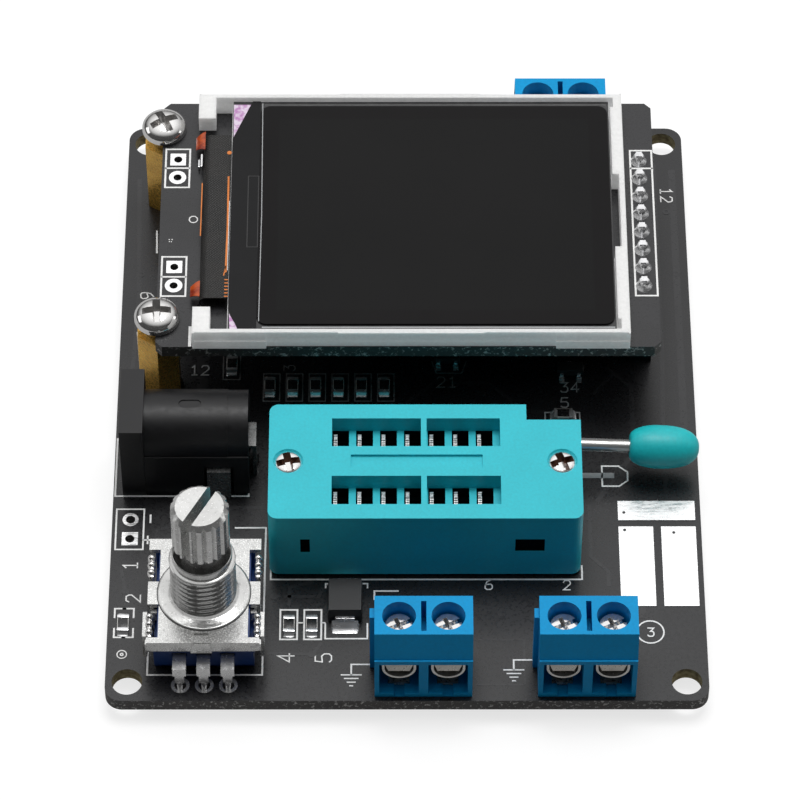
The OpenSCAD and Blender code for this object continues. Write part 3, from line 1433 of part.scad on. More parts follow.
module right_terminal_housing() at_right_terminal() terminal_housing();
module right_terminal_contacts() at_right_terminal() terminal_contacts();
module right_terminal_guard_a() at_right_terminal() at_pole(-1) terminal_guard();
module right_terminal_guard_b() at_right_terminal() at_pole(1) terminal_guard();
module right_terminal_screw_a() at_right_terminal() at_pole(-1) terminal_screw();
module right_terminal_screw_b() at_right_terminal() at_pole(1) terminal_screw();

module back_terminal_housing() at_back_terminal() terminal_housing();
module back_terminal_contacts() at_back_terminal() terminal_contacts();
module back_terminal_guard_a() at_back_terminal() at_pole(-1) terminal_guard();
module back_terminal_guard_b() at_back_terminal() at_pole(1) terminal_guard();
module back_terminal_screw_a() at_back_terminal() at_pole(-1) terminal_screw();
module back_terminal_screw_b() at_back_terminal() at_pole(1) terminal_screw();

// ---------- small parts ----------

module microcontroller_socket() {
  l = mcu_row_l + pitch;
  w = mcu_row_pitch + pitch;
  color(BLACK)
    translate([mcu_x, mcu_y, top])
      difference() {
        box([l, w, mcu_socket_h], [0, 0, 0]);
        for (i = [-1:1])
          box([l / 3 - 2.4, mcu_row_pitch - pitch, mcu_socket_h + 2 * eps], [i * l / 3, 0, -eps]);
        translate([-mcu_x, -mcu_y, -top]) at_mcu_pins()
          translate([0, 0, top - eps]) cylinder(d = lead_hole_d, h = mcu_socket_h + 2 * eps);
        translate([-l / 2, 0, -eps]) cylinder(d = 2, h = mcu_socket_h + 2 * eps);
      }
  color(SOLDER) at_mcu_pins() lead(lead_d, small_joint_h, 0.01);
}

module microcontroller() {
  l = mcu_row_l + 2;
  w = mcu_row_pitch - 1;
  z = top + mcu_socket_h + 0.4;
  color([0.12, 0.12, 0.12]) {
    translate([mcu_x, mcu_y, z])
      difference() {
        rotate([90, 0, 90]) translate([0, 0, -l / 2]) linear_extrude(l)
          polygon([[-w / 2, mcu_h / 2], [-w / 2 + 0.3, 0], [w / 2 - 0.3, 0], [w / 2, mcu_h / 2],
               [w / 2 - 0.3, mcu_h], [-w / 2 + 0.3, mcu_h]]);
        translate([-l / 2, 0, mcu_h - 0.5]) cylinder(d = 2, h = 1);
      }
    for (row = [-1, 1], i = [0:mcu_n / 2 - 1])
      translate([mcu_x - mcu_row_l / 2 + i * pitch, mcu_y + row * mcu_row_pitch / 2, 0]) {
        block([-0.65, -0.13, z], [1.3, 0.26, mcu_h / 2 + 0.1]);
        block([-0.25, -0.13, z - 3], [0.5, 0.26, 3]);
        block([-0.65, row > 0 ? -0.75 : 0, z + mcu_h / 2 - 0.15], [1.3, 0.75, 0.25]);
      }
  }
}

module crystal() {
  flange = 0.35;
  can_w = crystal_w - 2 * flange;
  can_l = 10.4;
  can_h = 3.4;
  color(METAL)
    translate([crystal_x, crystal_y, top]) {
      translate([0, 0, 0.2]) linear_extrude(can_h) rounded_rect(can_w, can_l, can_w / 2 - 0.05);
      linear_extrude(0.6) rounded_rect(crystal_w, can_l + 2 * flange, crystal_w / 2 - 0.05);
    }
  color(SOLDER) at_crystal_pins() lead(lead_d, small_joint_h, 0.01);
}

module suppressor_diode() {
  color(BLACK)
    translate([diode_x, diode_y, top]) {
      translate([0, 0, 0.1]) linear_extrude(2.1) square([3.6, 4.2], center = true);
      for (s = [-1, 1]) box([2, 1, 0.5], [0, s * 2.4, 0]);
    }
}

module chip_resistor(turn = 0) {
  cap = 0.35;
  color(BLACK)
    translate([0, 0, top]) rotate(turn) {
      box([chip_w, chip_l - 2 * cap, chip_h - 0.04], [0, 0, 0.02]);
      for (s = [-1, 1]) box([chip_w, cap + 0.02, chip_h], [0, s * (chip_l - cap) / 2, 0]);
    }
}

module chip_resistors() {
  for (i = [0:row_resistor_n - 1])
    translate([row_resistor_x + i * row_resistor_pitch, row_resistor_y, 0]) chip_resistor();
  translate([side_chip_x, side_chip_y, 0]) chip_resistor();
  translate([lever_chip_x, lever_chip_y, 0]) chip_resistor(90);
  translate([encoder_chip_x, encoder_chip_y, 0]) chip_resistor();
  for (i = [0, 1]) translate([front_chip_x + i * front_chip_pitch, front_chip_y, 0]) chip_resistor();
}

module chip_transistor() {
  color(BLACK)
    translate([0, 0, top]) {
      box([2.9, 1.3, 1], [0, 0, 0.08]);
      for (x = [-0.95, 0.95]) box([0.4, 0.62, 0.16], [x, -0.9, 0]);
      box([0.4, 0.62, 0.16], [0, 0.9, 0]);
    }
}

// Regulator with a wide collector tab, under the display
module voltage_regulator() {
  color(BLACK)
    translate([regulator_x, regulator_y, top]) rotate(90) {
      box([4.5, 2.5, 1.5], [0, 0, 0.05]);
      box([1.7, 1.2, 0.4], [0, 1.6, 0]);
      for (x = [-1.5, 0, 1.5]) box([0.45, 1, 0.4], [x, -1.6, 0]);
    }
}

module chip_transistors() {
  voltage_regulator();
  translate([transistor_a_x, transistor_a_y, 0]) chip_transistor();
  translate([transistor_b_x, transistor_b_y, 0]) chip_transistor();
}

// Ceramic capacitors under the display, two by the crystal and the rest by the supply pins
module chip_capacitors() {
  for (y = [-5.5, 5.5]) translate([crystal_x + crystal_w / 2 + 0.85, crystal_y + y, 0]) chip_resistor();
  for (x = [-12, 6]) translate([mcu_x + x, mcu_y + mcu_row_pitch / 2 + 3.2, 0]) chip_resistor(90);
  for (x = [-17, -13, 12]) translate([mcu_x + x, mcu_y - mcu_row_pitch / 2 - 4, 0]) chip_resistor(90);
}

main_board();
test_pads();
edge_solder();
socket_solder();
lcd_board();
lcd_frame();
lcd_backlight();
lcd_glass();
lcd_polarizer();
lcd_tape();
lcd_flex();
lcd_header_pins();
lcd_header_strip();
lcd_header_socket();
lcd_standoffs();
lcd_upper_screws();
lcd_lower_screws();
zif_base();
zif_cover();
zif_slider();
zif_contacts();
zif_lever();
zif_lever_knob();
zif_cover_screws();
encoder_base();
encoder_frame();
encoder_bushing();
encoder_rotor();
encoder_shaft();
encoder_dome();
encoder_pins();
jack_housing();
jack_center_pin();
jack_spring();
jack_side_contact();
left_terminal_housing();
left_terminal_contacts();
left_terminal_guard_a();
left_terminal_guard_b();
left_terminal_screw_a();
left_terminal_screw_b();
right_terminal_housing();
right_terminal_contacts();
right_terminal_guard_a();
right_terminal_guard_b();
right_terminal_screw_a();
right_terminal_screw_b();
back_terminal_housing();
back_terminal_contacts();
back_terminal_guard_a();
back_terminal_guard_b();
back_terminal_screw_a();
back_terminal_screw_b();
microcontroller();
microcontroller_socket();
crystal();
suppressor_diode();
chip_resistors();
chip_transistors();
chip_capacitors();
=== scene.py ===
import math

import bmesh
import bpy
from mathutils import Matrix, Vector


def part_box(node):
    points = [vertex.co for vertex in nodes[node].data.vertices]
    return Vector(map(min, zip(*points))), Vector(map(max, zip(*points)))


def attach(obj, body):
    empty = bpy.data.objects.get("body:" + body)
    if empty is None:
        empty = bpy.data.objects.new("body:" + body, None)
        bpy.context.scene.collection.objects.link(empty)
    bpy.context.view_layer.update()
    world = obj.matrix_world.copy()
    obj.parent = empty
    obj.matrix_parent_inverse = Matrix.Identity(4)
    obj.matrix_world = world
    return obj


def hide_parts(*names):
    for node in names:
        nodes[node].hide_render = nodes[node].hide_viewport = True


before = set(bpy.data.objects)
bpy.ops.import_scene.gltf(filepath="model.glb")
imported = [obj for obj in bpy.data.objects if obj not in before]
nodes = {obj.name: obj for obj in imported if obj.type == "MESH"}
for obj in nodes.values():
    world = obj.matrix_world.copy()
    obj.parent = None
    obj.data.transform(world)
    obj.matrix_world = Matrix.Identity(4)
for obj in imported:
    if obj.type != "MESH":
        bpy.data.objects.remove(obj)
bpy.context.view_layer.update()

# Lengths are in mm and become metres where they are multiplied by MM.
MM = 0.001
TOP = 1.6                           # top face of the main board, above its underside
LCD = 13.2                          # top face of the display's board
GLASS = 15.3                        # top face of the display's glass
FLEX = 14.76                        # just above the flat of the flexible circuit
FLOOR = -1.62                       # the table, just under the solder joints that the board stands on
ENC_X, ENC_Y = -21.12, -30.3        # axis of the encoder
HOLE_X, HOLE_Y = 29.2, 37.1         # centres of the mounting holes, either side of the middle
HOLE_WALL = 1.66                    # a radius that takes in the walls of those holes
LEAD_PITCH = 2.54                   # between neighbouring contacts of the test socket
SOCKET_ROWS = (-19.835, -12.215)    # middle lines of the socket's two rows


# ---------------------------------------------------------------- materials

def material(name):
    """New material, with its nodes and its main shader."""
    m = bpy.data.materials.new(name)
    m.use_nodes = True
    t = m.node_tree
    return m, t, t.nodes["Principled BSDF"]


def node(t, kind, **inputs):
    """Adds a node and sets its inputs or its own settings by name."""
    n = t.nodes.new(kind)
    for k, v in inputs.items():
        key = k.replace("_", " ")
        if key in n.inputs:
            n.inputs[key].default_value = v
        else:
            setattr(n, k, v)
    return n


def coords(t):
    return t.nodes.new("ShaderNodeTexCoord").outputs["Object"]


def noise(t, scale, detail=4.0, rough=0.55, distort=0.0, vector=None):
    """Noise across the object, with its scale in waves to the metre."""
    n = node(t, "ShaderNodeTexNoise", Scale=scale, Detail=detail, Roughness=rough, Distortion=distort)
    t.links.new(vector or coords(t), n.inputs["Vector"])
    return n.outputs["Fac"]


def ramp(t, fac, lo, hi, a=0.0, b=1.0):
    """Turns a value between lo and hi into one between a and b, and stops at the ends."""
    n = t.nodes.new("ShaderNodeMapRange")
    for k, v in (("From Min", lo), ("From Max", hi), ("To Min", a), ("To Max", b)):
        n.inputs[k].default_value = v
    t.links.new(fac, n.inputs["Value"])
    return n.outputs["Result"]


def mix(t, fac, a, b):
    """Blends two colours; each value may be a socket or a plain one."""
    n = t.nodes.new("ShaderNodeMix")
    n.data_type = "RGBA"
    for v, i in ((a, 6), (b, 7)):
        if hasattr(v, "is_linked"):
            t.links.new(v, n.inputs[i])
        else:
            n.inputs[i].default_value = (*v, 1)
    if hasattr(fac, "is_linked"):
        t.links.new(fac, n.inputs[0])
    else:
        n.inputs[0].default_value = fac
    return n.outputs[2]


def maths(t, op, a, b=0.0):
    """Arithmetic on sockets or plain numbers."""
    n = t.nodes.new("ShaderNodeMath")
    n.operation = op
    for v, i in ((a, 0), (b, 1)):
        if hasattr(v, "is_linked"):
            t.links.new(v, n.inputs[i])
        else:
            n.inputs[i].default_value = v
    return n.outputs[0]


def split(t, vector):
    n = t.nodes.new("ShaderNodeSeparateXYZ")
    t.links.new(vector, n.inputs[0])
    return n.outputs


def bump(t, p, height, depth, strength=1.0, below=None):
    """Relief of a depth in metres, laid over another relief if there is one below."""
    n = node(t, "ShaderNodeBump", Strength=strength, Distance=depth)
    t.links.new(height, n.inputs["Height"])
    if below is not None:
        t.links.new(below, n.inputs["Normal"])
    t.links.new(n.outputs["Normal"], p.inputs["Normal"])
    return n.outputs["Normal"]


def shade(colour, f):
    return tuple(max(0.0, min(1.0, c * f)) for c in colour)


def plastic(name, colour, rough=0.45, grain=2500.0, depth=4e-6, mottle=0.08, wear=0.0, spec=0.5):
    """Moulded plastic: fine spark-eroded grain, slow colour drift, faint scuffs and uneven gloss."""
    m, t, p = material(name)
    slow = noise(t, 160.0, 3.0)
    fine = noise(t, grain, 6.0, 0.6)
    base = mix(t, ramp(t, slow, 0.3, 0.7), shade(colour, 1 - mottle), shade(colour, 1 + mottle))
    if wear:
        scuff = ramp(t, noise(t, 900.0, 8.0, 0.75, 0.6), 0.66, 0.74)
        base = mix(t, maths(t, "MULTIPLY", scuff, wear), base, tuple(min(1, c * 1.6 + 0.12) for c in colour))
    speck = node(t, "ShaderNodeHueSaturation")
    t.links.new(base, speck.inputs["Color"])
    t.links.new(ramp(t, fine, 0.3, 0.7, 0.93, 1.06), speck.inputs["Value"])
    t.links.new(speck.outputs["Color"], p.inputs["Base Color"])
    t.links.new(ramp(t, fine, 0.3, 0.7, rough - 0.07, rough + 0.07), p.inputs["Roughness"])
    p.inputs["Specular IOR Level"].default_value = spec
    bump(t, p, fine, depth, 0.6)
    return m


def metal(name, colour, rough=0.25, grain=1800.0, depth=3e-6, mottle=0.10, streak=None, spread=0.08, pits=0.0,
          solid=0.72):
    """Metal with uneven gloss, a grain or drawn streaks, and small dark pits."""
    m, t, p = material(name)
    vector = None
    if streak:
        mp = t.nodes.new("ShaderNodeMapping")
        mp.inputs["Scale"].default_value = streak
        t.links.new(coords(t), mp.inputs["Vector"])
        vector = mp.outputs["Vector"]
    fine = noise(t, grain, 5.0, 0.6, 0.0, vector)
    slow = noise(t, 420.0, 4.0, 0.6)
    base = mix(t, ramp(t, slow, 0.3, 0.7), shade(colour, 1 - mottle), shade(colour, 1 + mottle))
    if pits:
        spots = ramp(t, noise(t, 2600.0, 2.0, 0.5), 0.60, 0.68)
        base = mix(t, maths(t, "MULTIPLY", spots, pits), base, shade(colour, 0.25))
    t.links.new(base, p.inputs["Base Color"])
    p.inputs["Metallic"].default_value = solid
    t.links.new(ramp(t, fine, 0.3, 0.7, max(0.02, rough - spread), rough + spread), p.inputs["Roughness"])
    bump(t, p, fine, depth, 0.7)
    return m


def board_material(name, top, edge, holes=False):
    """Solder mask with a fine orange peel; cut edges show flecked glass fibre, hole walls bare laminate."""
    m, t, p = material(name)
    x, y, _ = split(t, coords(t))
    nz = split(t, t.nodes.new("ShaderNodeNewGeometry").outputs["Normal"])[2]
    side = ramp(t, maths(t, "ABSOLUTE", nz), 0.35, 0.55, 1.0, 0.0)
    peel = noise(t, 1500.0, 3.0, 0.5)
    slow = noise(t, 90.0, 3.0)
    mask = mix(t, ramp(t, slow, 0.35, 0.65), shade(top, 0.8), shade(top, 1.25))
    flecks = ramp(t, noise(t, 2100.0, 5.0, 0.7, 0.4), 0.56, 0.63)
    laminate = mix(t, maths(t, "MULTIPLY", flecks, 0.75), edge, (0.85, 0.84, 0.82))
    if holes:
        hx = maths(t, "SUBTRACT", maths(t, "ABSOLUTE", x), HOLE_X * MM)
        hy = maths(t, "SUBTRACT", maths(t, "ABSOLUTE", y), HOLE_Y * MM)
        far = maths(t, "SQRT", maths(t, "ADD", maths(t, "MULTIPLY", hx, hx), maths(t, "MULTIPLY", hy, hy)))
        wall = maths(t, "LESS_THAN", far, HOLE_WALL * MM)
        glass = mix(t, ramp(t, noise(t, 1800.0, 4.0), 0.35, 0.65), (0.16, 0.12, 0.05), (0.46, 0.40, 0.22))
        laminate = mix(t, wall, laminate, glass)
    t.links.new(mix(t, side, mask, laminate), p.inputs["Base Color"])
    fine = noise(t, 2600.0, 5.0, 0.6)
    rough = maths(t, "ADD", ramp(t, fine, 0.3, 0.7, 0.24, 0.34), maths(t, "MULTIPLY", side, 0.35))
    t.links.new(rough, p.inputs["Roughness"])
    first = bump(t, p, peel, 1.2e-6, 0.4)
    bump(t, p, maths(t, "MULTIPLY", fine, side), 4e-5, 0.8, first)
    return m


M = {}
M["board"] = board_material("board_mask", (0.012, 0.012, 0.0135), (0.085, 0.082, 0.079), holes=True)
M["lcd_board"] = board_material("display_board_mask", (0.015, 0.015, 0.017), (0.085, 0.083, 0.08))
M["track"] = plastic("masked_copper", (0.022, 0.022, 0.024), 0.30, 1500.0, 3e-6, 0.15)
M["silk"] = plastic("screen_print", (0.90, 0.90, 0.89), 0.6, 4200.0, 6e-6, 0.07)
# grey and dim copies of the white print: painted shade on print under the display board, and painted
# highlights along the display's glass edges
M["grey_silk_shade_and_highlight"] = plastic("grey_print_shade_and_highlight", (0.42, 0.43, 0.44), 0.6, 4200.0, 6e-6, 0.10)
M["dim_silk_shade_and_highlight"] = plastic("dim_print_shade_and_highlight", (0.17, 0.17, 0.17), 0.6, 4200.0, 6e-6, 0.15)
TURQUOISE_SPEC = 0.35
M["turquoise"] = plastic("turquoise_plastic", (0.024, 0.550, 0.645), 0.46, 3200.0, 1.1e-5, 0.04, 0.04,
                         TURQUOISE_SPEC)


def paint_cavity_shade(m, boxes, spec):
    """Paints shade into deep cavities of a moulding: dark colour and no reflection inside boxes given as (x0,
    x1, y0, y1, z0, z1) in mm.
    """
    t = m.node_tree
    p = t.nodes["Principled BSDF"]
    old = p.inputs["Base Color"].links[0].from_socket
    xyz = split(t, coords(t))
    cavity_shade_mask = None
    for b in boxes:
        inside = None
        for k in range(3):
            hi = maths(t, "LESS_THAN", xyz[k], b[2 * k + 1] * MM)
            lo = maths(t, "GREATER_THAN", xyz[k], b[2 * k] * MM)
            both = maths(t, "MULTIPLY", lo, hi)
            inside = both if inside is None else maths(t, "MULTIPLY", inside, both)
        cavity_shade_mask = inside if cavity_shade_mask is None else maths(t, "MAXIMUM", cavity_shade_mask, inside)
    # painted shade: near-black colour and no specular inside the boxes
    t.links.new(mix(t, cavity_shade_mask, old, (0.0015, 0.006, 0.007)), p.inputs["Base Color"])
    t.links.new(maths(t, "MULTIPLY", maths(t, "SUBTRACT", 1.0, cavity_shade_mask), spec), p.inputs["Specular IOR Level"])


# painted shade inside the socket's contact chamber and the two windows in its front wall
paint_cavity_shade(M["turquoise"], [(-8.3, 10.3, -21.9, -10.1, 1.0, 9.72),      # the contact chamber
                               (-12.6, -9.4, -23.5, -21.5, 2.5, 8.1),      # the two windows in the front wall
                               (9.6, 14.9, -23.5, -21.5, 2.5, 8.1)], TURQUOISE_SPEC)
M["knob"] = plastic("turquoise_knob", (0.016, 0.520, 0.555), 0.40, 2600.0, 6e-6, 0.06, 0.04, 0.4)
M["blue"] = plastic("blue_plastic", (0.0018, 0.315, 0.665), 0.48, 3000.0, 7e-6, 0.05, 0.04, 0.14)
M["dark_blue"] = plastic("dark_blue_plastic", (0.004, 0.040, 0.190), 0.35, 2600.0, 4e-6, 0.10)
M["black"] = plastic("black_plastic", (0.008, 0.008, 0.009), 0.42, 2200.0, 9e-6, 0.12, 0.03, 0.34)
M["black_smooth"] = plastic("black_moulding", (0.013, 0.013, 0.014), 0.34, 2600.0, 5e-6, 0.12)
M["white"] = plastic("white_moulding", (0.79, 0.79, 0.78), 0.38, 2400.0, 4e-6, 0.02, 0.03)
white_shader = M["white"].node_tree.nodes["Principled BSDF"]
white_shader.inputs["Subsurface Weight"].default_value = 0.65
white_shader.inputs["Subsurface Radius"].default_value = (1.0, 1.0, 1.0)
white_shader.inputs["Subsurface Scale"].default_value = 1.6 * MM
# a faint painted glow: emission that brightens the shaded faces of the white mouldings, which are no lamp
white_shader.inputs["Emission Color"].default_value = (1, 1, 1, 1)
white_shader.inputs["Emission Strength"].default_value = 0.12
M["diffuser"] = plastic("diffuser", (0.80, 0.81, 0.83), 0.30, 2600.0, 2e-6, 0.02)
M["tape"] = plastic("black_tape", (0.009, 0.009, 0.010), 0.42, 2800.0, 4e-6, 0.15, spec=0.14)
M["ceramic"] = plastic("chip_ceramic", (0.55, 0.54, 0.52), 0.5, 3600.0, 6e-6, 0.1)
M["chip_glaze"] = plastic("chip_glaze", (0.016, 0.016, 0.017), 0.25, 3600.0, 3e-6, 0.15)
M["tan"] = plastic("capacitor_ceramic", (0.32, 0.20, 0.10), 0.35, 3600.0, 4e-6, 0.12)
M["epoxy"] = plastic("epoxy_body", (0.017, 0.017, 0.018), 0.45, 3200.0, 9e-6, 0.15)
M["solder"] = metal("solder", (0.78, 0.78, 0.79), 0.20, 1400.0, 1.2e-5, 0.15, spread=0.12)
M["tinned"] = metal("tinned_metal", (0.74, 0.74, 0.74), 0.24, 1500.0, 4e-6, 0.12)
M["pad"] = metal("tinned_pad", (0.93, 0.93, 0.93), 0.30, 700.0, 1.0e-5, 0.03, streak=(1, 6, 1), spread=0.14)
M["chrome"] = metal("bright_steel", (0.80, 0.79, 0.78), 0.10, 2000.0, 2e-6, 0.06, spread=0.05, solid=0.9)
M["rod"] = metal("lever_wire", (0.62, 0.61, 0.60), 0.16, 2500.0, 2e-6, 0.08, streak=(0.06, 1, 1), spread=0.07)
# a darker copy of the bright steel for the walls of the crosshead recesses: painted shade
M["recess"] = metal("crosshead_recess_shade", (0.50, 0.49, 0.48), 0.16, 2600.0, 8e-6, 0.3)
M["rust"] = metal("crosshead_recess_brown", (0.16, 0.085, 0.06), 0.32, 3800.0, 2e-5, 0.6)
M["zinc"] = metal("zinc_casting", (0.63, 0.63, 0.62), 0.20, 4200.0, 5e-6, 0.14, spread=0.10, pits=0.35)
M["plate"] = metal("pressed_plate", (0.63, 0.63, 0.62), 0.24, 5200.0, 9e-6, 0.12, spread=0.14, pits=0.45)
M["guard"] = metal("nickelled_strip", (0.55, 0.54, 0.52), 0.22, 1800.0, 4e-6, 0.15)
# a darkened copy of tinned metal for the jack's rear contacts: painted shade
M["tab"] = metal("dulled_tab", (0.24, 0.24, 0.24), 0.26, 2200.0, 9e-6, 0.35)
M["clamp"] = metal("clamp_block", (0.50, 0.48, 0.44), 0.30, 1800.0, 6e-6, 0.15)
M["brass"] = metal("brass", (0.86, 0.50, 0.10), 0.28, 3600.0, 2.2e-5, 0.2, spread=0.14, pits=0.4, solid=0.6)
M["copper"] = metal("bare_copper", (0.62, 0.20, 0.055), 0.25, 1800.0, 3e-6, 0.15, streak=(1, 0.1, 1))
M["crystal_can"] = metal("crystal_can", (0.76, 0.76, 0.76), 0.22, 1600.0, 3e-6, 0.08, streak=(0.2, 1, 1))


def polariser():
    """Dark film: smooth, slightly grey inside its darker rim."""
    m, t, p = material("display_film")
    lo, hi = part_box("lcd_polarizer")
    x, y, _ = split(t, coords(t))
    ax = maths(t, "ABSOLUTE", maths(t, "SUBTRACT", x, (lo.x + hi.x) / 2))
    ay = maths(t, "ABSOLUTE", maths(t, "SUBTRACT", y, (lo.y + hi.y) / 2))
    rim = maths(t, "MAXIMUM", maths(t, "SUBTRACT", ax, (hi.x - lo.x) / 2 - 2.1 * MM),
                maths(t, "SUBTRACT", ay, (hi.y - lo.y) / 2 - 1.9 * MM))
    inside = ramp(t, rim, -0.15 * MM, 0.15 * MM, 1.0, 0.0)
    base = mix(t, inside, (0.0052, 0.0046, 0.0050), (0.0064, 0.0064, 0.0066))
    cloud = mix(t, ramp(t, noise(t, 70.0, 3.0), 0.35, 0.65), (0.0, 0.0, 0.0), (0.0012, 0.001, 0.001))
    both = t.nodes.new("ShaderNodeVectorMath")
    t.links.new(base, both.inputs[0])
    t.links.new(cloud, both.inputs[1])
    t.links.new(both.outputs[0], p.inputs["Base Color"])
    t.links.new(ramp(t, noise(t, 300.0, 4.0), 0.3, 0.7, 0.10, 0.16), p.inputs["Roughness"])
    p.inputs["Specular IOR Level"].default_value = 0.12
    bump(t, p, noise(t, 120.0, 2.0), 6e-6, 0.4)
    return m


def glass():
    """Edge of the display glass: pale grey-green, polished."""
    m, t, p = material("display_glass")
    z = split(t, t.nodes.new("ShaderNodeNewGeometry").outputs["Normal"])[2]
    base = mix(t, ramp(t, z, 0.3, 0.7), (0.10, 0.105, 0.11), (0.035, 0.035, 0.036))
    t.links.new(mix(t, ramp(t, noise(t, 900.0), 0.4, 0.7), base, (0.02, 0.02, 0.021)), p.inputs["Base Color"])
    t.links.new(ramp(t, noise(t, 1800.0), 0.3, 0.7, 0.06, 0.16), p.inputs["Roughness"])
    bump(t, p, noise(t, 1500.0), 2e-6, 0.5)
    return m


def flexible_circuit():
    """Black cover film with the fine dot grid that the copper mesh beneath it raises."""
    m, t, p = material("flex_circuit")
    x, y, _ = split(t, coords(t))
    wave = 2 * math.pi / (0.34 * MM)
    dots = maths(t, "MULTIPLY", maths(t, "SINE", maths(t, "MULTIPLY", x, wave)),
                 maths(t, "SINE", maths(t, "MULTIPLY", y, wave)))
    cover = mix(t, ramp(t, dots, 0.1, 0.9), (0.006, 0.006, 0.006), (0.036, 0.035, 0.034))
    haze = ramp(t, noise(t, 500.0), 0.4, 0.6)
    t.links.new(mix(t, haze, cover, (0.016, 0.015, 0.014)), p.inputs["Base Color"])
    t.links.new(ramp(t, dots, -0.5, 1.0, 0.30, 0.48), p.inputs["Roughness"])
    p.inputs["Specular IOR Level"].default_value = 0.3
    bump(t, p, dots, 3e-5, 0.8)
    return m


def film(name, colour, second, rough=0.25, scale=700.0):
    """Thin coloured sheet whose tint drifts between two colours."""
    m, t, p = material(name)
    drift = ramp(t, noise(t, scale, 3.0, 0.5, 0.5), 0.42, 0.58)
    t.links.new(mix(t, drift, colour, second), p.inputs["Base Color"])
    t.links.new(ramp(t, noise(t, 1600.0), 0.3, 0.7, rough - 0.08, rough + 0.08), p.inputs["Roughness"])
    bump(t, p, noise(t, 800.0), 8e-6, 0.6)
    return m


M["film"] = polariser()
M["glass"] = glass()
M["flex"] = flexible_circuit()
M["polyimide"] = film("polyimide", (0.24, 0.022, 0.004), (0.50, 0.075, 0.010))
M["pink"] = film("iridescent_film", (0.52, 0.24, 0.52), (0.78, 0.66, 0.80), 0.2, 1500.0)


# ---------------------------------------------------------------- building pieces

def finish_mesh(name, bm, mats, body="tester", smooth=None):
    """Turns a mesh into a piece that rides a body; smooth is the angle above which an edge stays sharp."""
    bmesh.ops.recalc_face_normals(bm, faces=bm.faces)
    me = bpy.data.meshes.new(name)
    bm.to_mesh(me)
    bm.free()
    for m in (mats if isinstance(mats, (list, tuple)) else [mats]):
        me.materials.append(M[m])
    if smooth:
        for f in me.polygons:
            f.use_smooth = True
        me.set_sharp_from_angle(angle=math.radians(smooth))
    o = bpy.data.objects.new(name, me)
    bpy.context.scene.collection.objects.link(o)
    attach(o, body)
    return o


def steady(bm):
    """Gives faces a fixed order, for a mesh with bevels: they leave one that changes from run to run."""
    bm.verts.index_update()
    fixed = sorted(bm.faces, key=lambda f: sorted(v.index for v in f.verts))
    bm.faces.sort(key={f: i for i, f in enumerate(fixed)}.get)
    return bm


def prism(bm, pts, z0, z1, mat=0, taper=0.0):
    """Upright solid over an outline given in mm, optionally drawn in towards its top."""
    cx = sum(p[0] for p in pts) / len(pts)
    cy = sum(p[1] for p in pts) / len(pts)
    low = [bm.verts.new((x * MM, y * MM, z0 * MM)) for x, y in pts]
    up = []
    for x, y in pts:
        d = math.hypot(x - cx, y - cy) or 1
        k = 1 - taper / d
        up.append(bm.verts.new(((cx + (x - cx) * k) * MM, (cy + (y - cy) * k) * MM, z1 * MM)))
    n = len(pts)
    fs = [bm.faces.new(low[::-1]), bm.faces.new(up)]
    fs += [bm.faces.new((low[i], low[(i + 1) % n], up[(i + 1) % n], up[i])) for i in range(n)]
    for f in fs:
        f.material_index = mat
    return low + up


def rect(cx, cy, w, l):
    """Outline of a rectangle about its centre."""
    return [(cx - w / 2, cy - l / 2), (cx + w / 2, cy - l / 2),
            (cx + w / 2, cy + l / 2), (cx - w / 2, cy + l / 2)]


def circle(cx, cy, r, n=32):
    """Outline of a circle with n corners."""
    return [(cx + r * math.cos(2 * math.pi * i / n), cy + r * math.sin(2 * math.pi * i / n))
            for i in range(n)]


def ribbon(bm, pts, w, z, h=0.03, closed=False, mat=0):
    """A printed or copper line of width w with mitred corners, a little proud of the face at height z."""
    n = len(pts)
    out = []
    for i, (x, y) in enumerate(pts):
        before = pts[i - 1] if (i or closed) else None
        after = pts[(i + 1) % n] if (i < n - 1 or closed) else None
        d = []
        for a, b in ((before, (x, y)), ((x, y), after)):
            if a and b:
                dx, dy = b[0] - a[0], b[1] - a[1]
                L = math.hypot(dx, dy) or 1
                d.append((dx / L, dy / L))
        tx, ty = sum(k[0] for k in d), sum(k[1] for k in d)
        L = math.hypot(tx, ty) or 1
        tx, ty = tx / L, ty / L
        k = 1.0
        if len(d) == 2:
            k = 1 / max(0.35, tx * d[0][0] + ty * d[0][1])
        else:
            sign = -1 if before is None else 1
            x, y = x + sign * d[0][0] * w * 0.3, y + sign * d[0][1] * w * 0.3
        out.append(((x - ty * w / 2 * k, y + tx * w / 2 * k), (x + ty * w / 2 * k, y - tx * w / 2 * k)))
    ring = []
    for a, b in out:
        ring.append([bm.verts.new((p[0] * MM, p[1] * MM, zz * MM))
                     for p, zz in ((a, z), (a, z + h), (b, z + h), (b, z))])
    last = n if closed else n - 1
    for i in range(last):
        q, r = ring[i], ring[(i + 1) % n]
        for j in range(4):
            f = bm.faces.new((q[j], q[(j + 1) % 4], r[(j + 1) % 4], r[j]))
            f.material_index = mat
    if not closed:
        bm.faces.new(ring[0][::-1]).material_index = mat
        bm.faces.new(ring[-1]).material_index = mat


def annulus(bm, cx, cy, r0, r1, z, h=0.03, n=32, square=None):
    """Flat ring, or a square plate with a round hole."""
    rings = []
    for zz in (z, z + h):
        for r, outer in ((r0, False), (r1, True)):
            vs = []
            for i in range(n):
                a = 2 * math.pi * i / n
                c, s = math.cos(a), math.sin(a)
                if outer and square:
                    k = square / max(abs(c), abs(s))
                    vs.append(bm.verts.new(((cx + c * k) * MM, (cy + s * k) * MM, zz * MM)))
                else:
                    vs.append(bm.verts.new(((cx + c * r) * MM, (cy + s * r) * MM, zz * MM)))
            rings.append(vs)
    a, b, c, d = rings
    for i in range(n):
        j = (i + 1) % n
        for q in ((a[i], a[j], b[j], b[i]), (c[i], d[i], d[j], c[j]),
                  (b[i], b[j], d[j], d[i]), (a[j], a[i], c[i], c[j])):
            bm.faces.new(q)


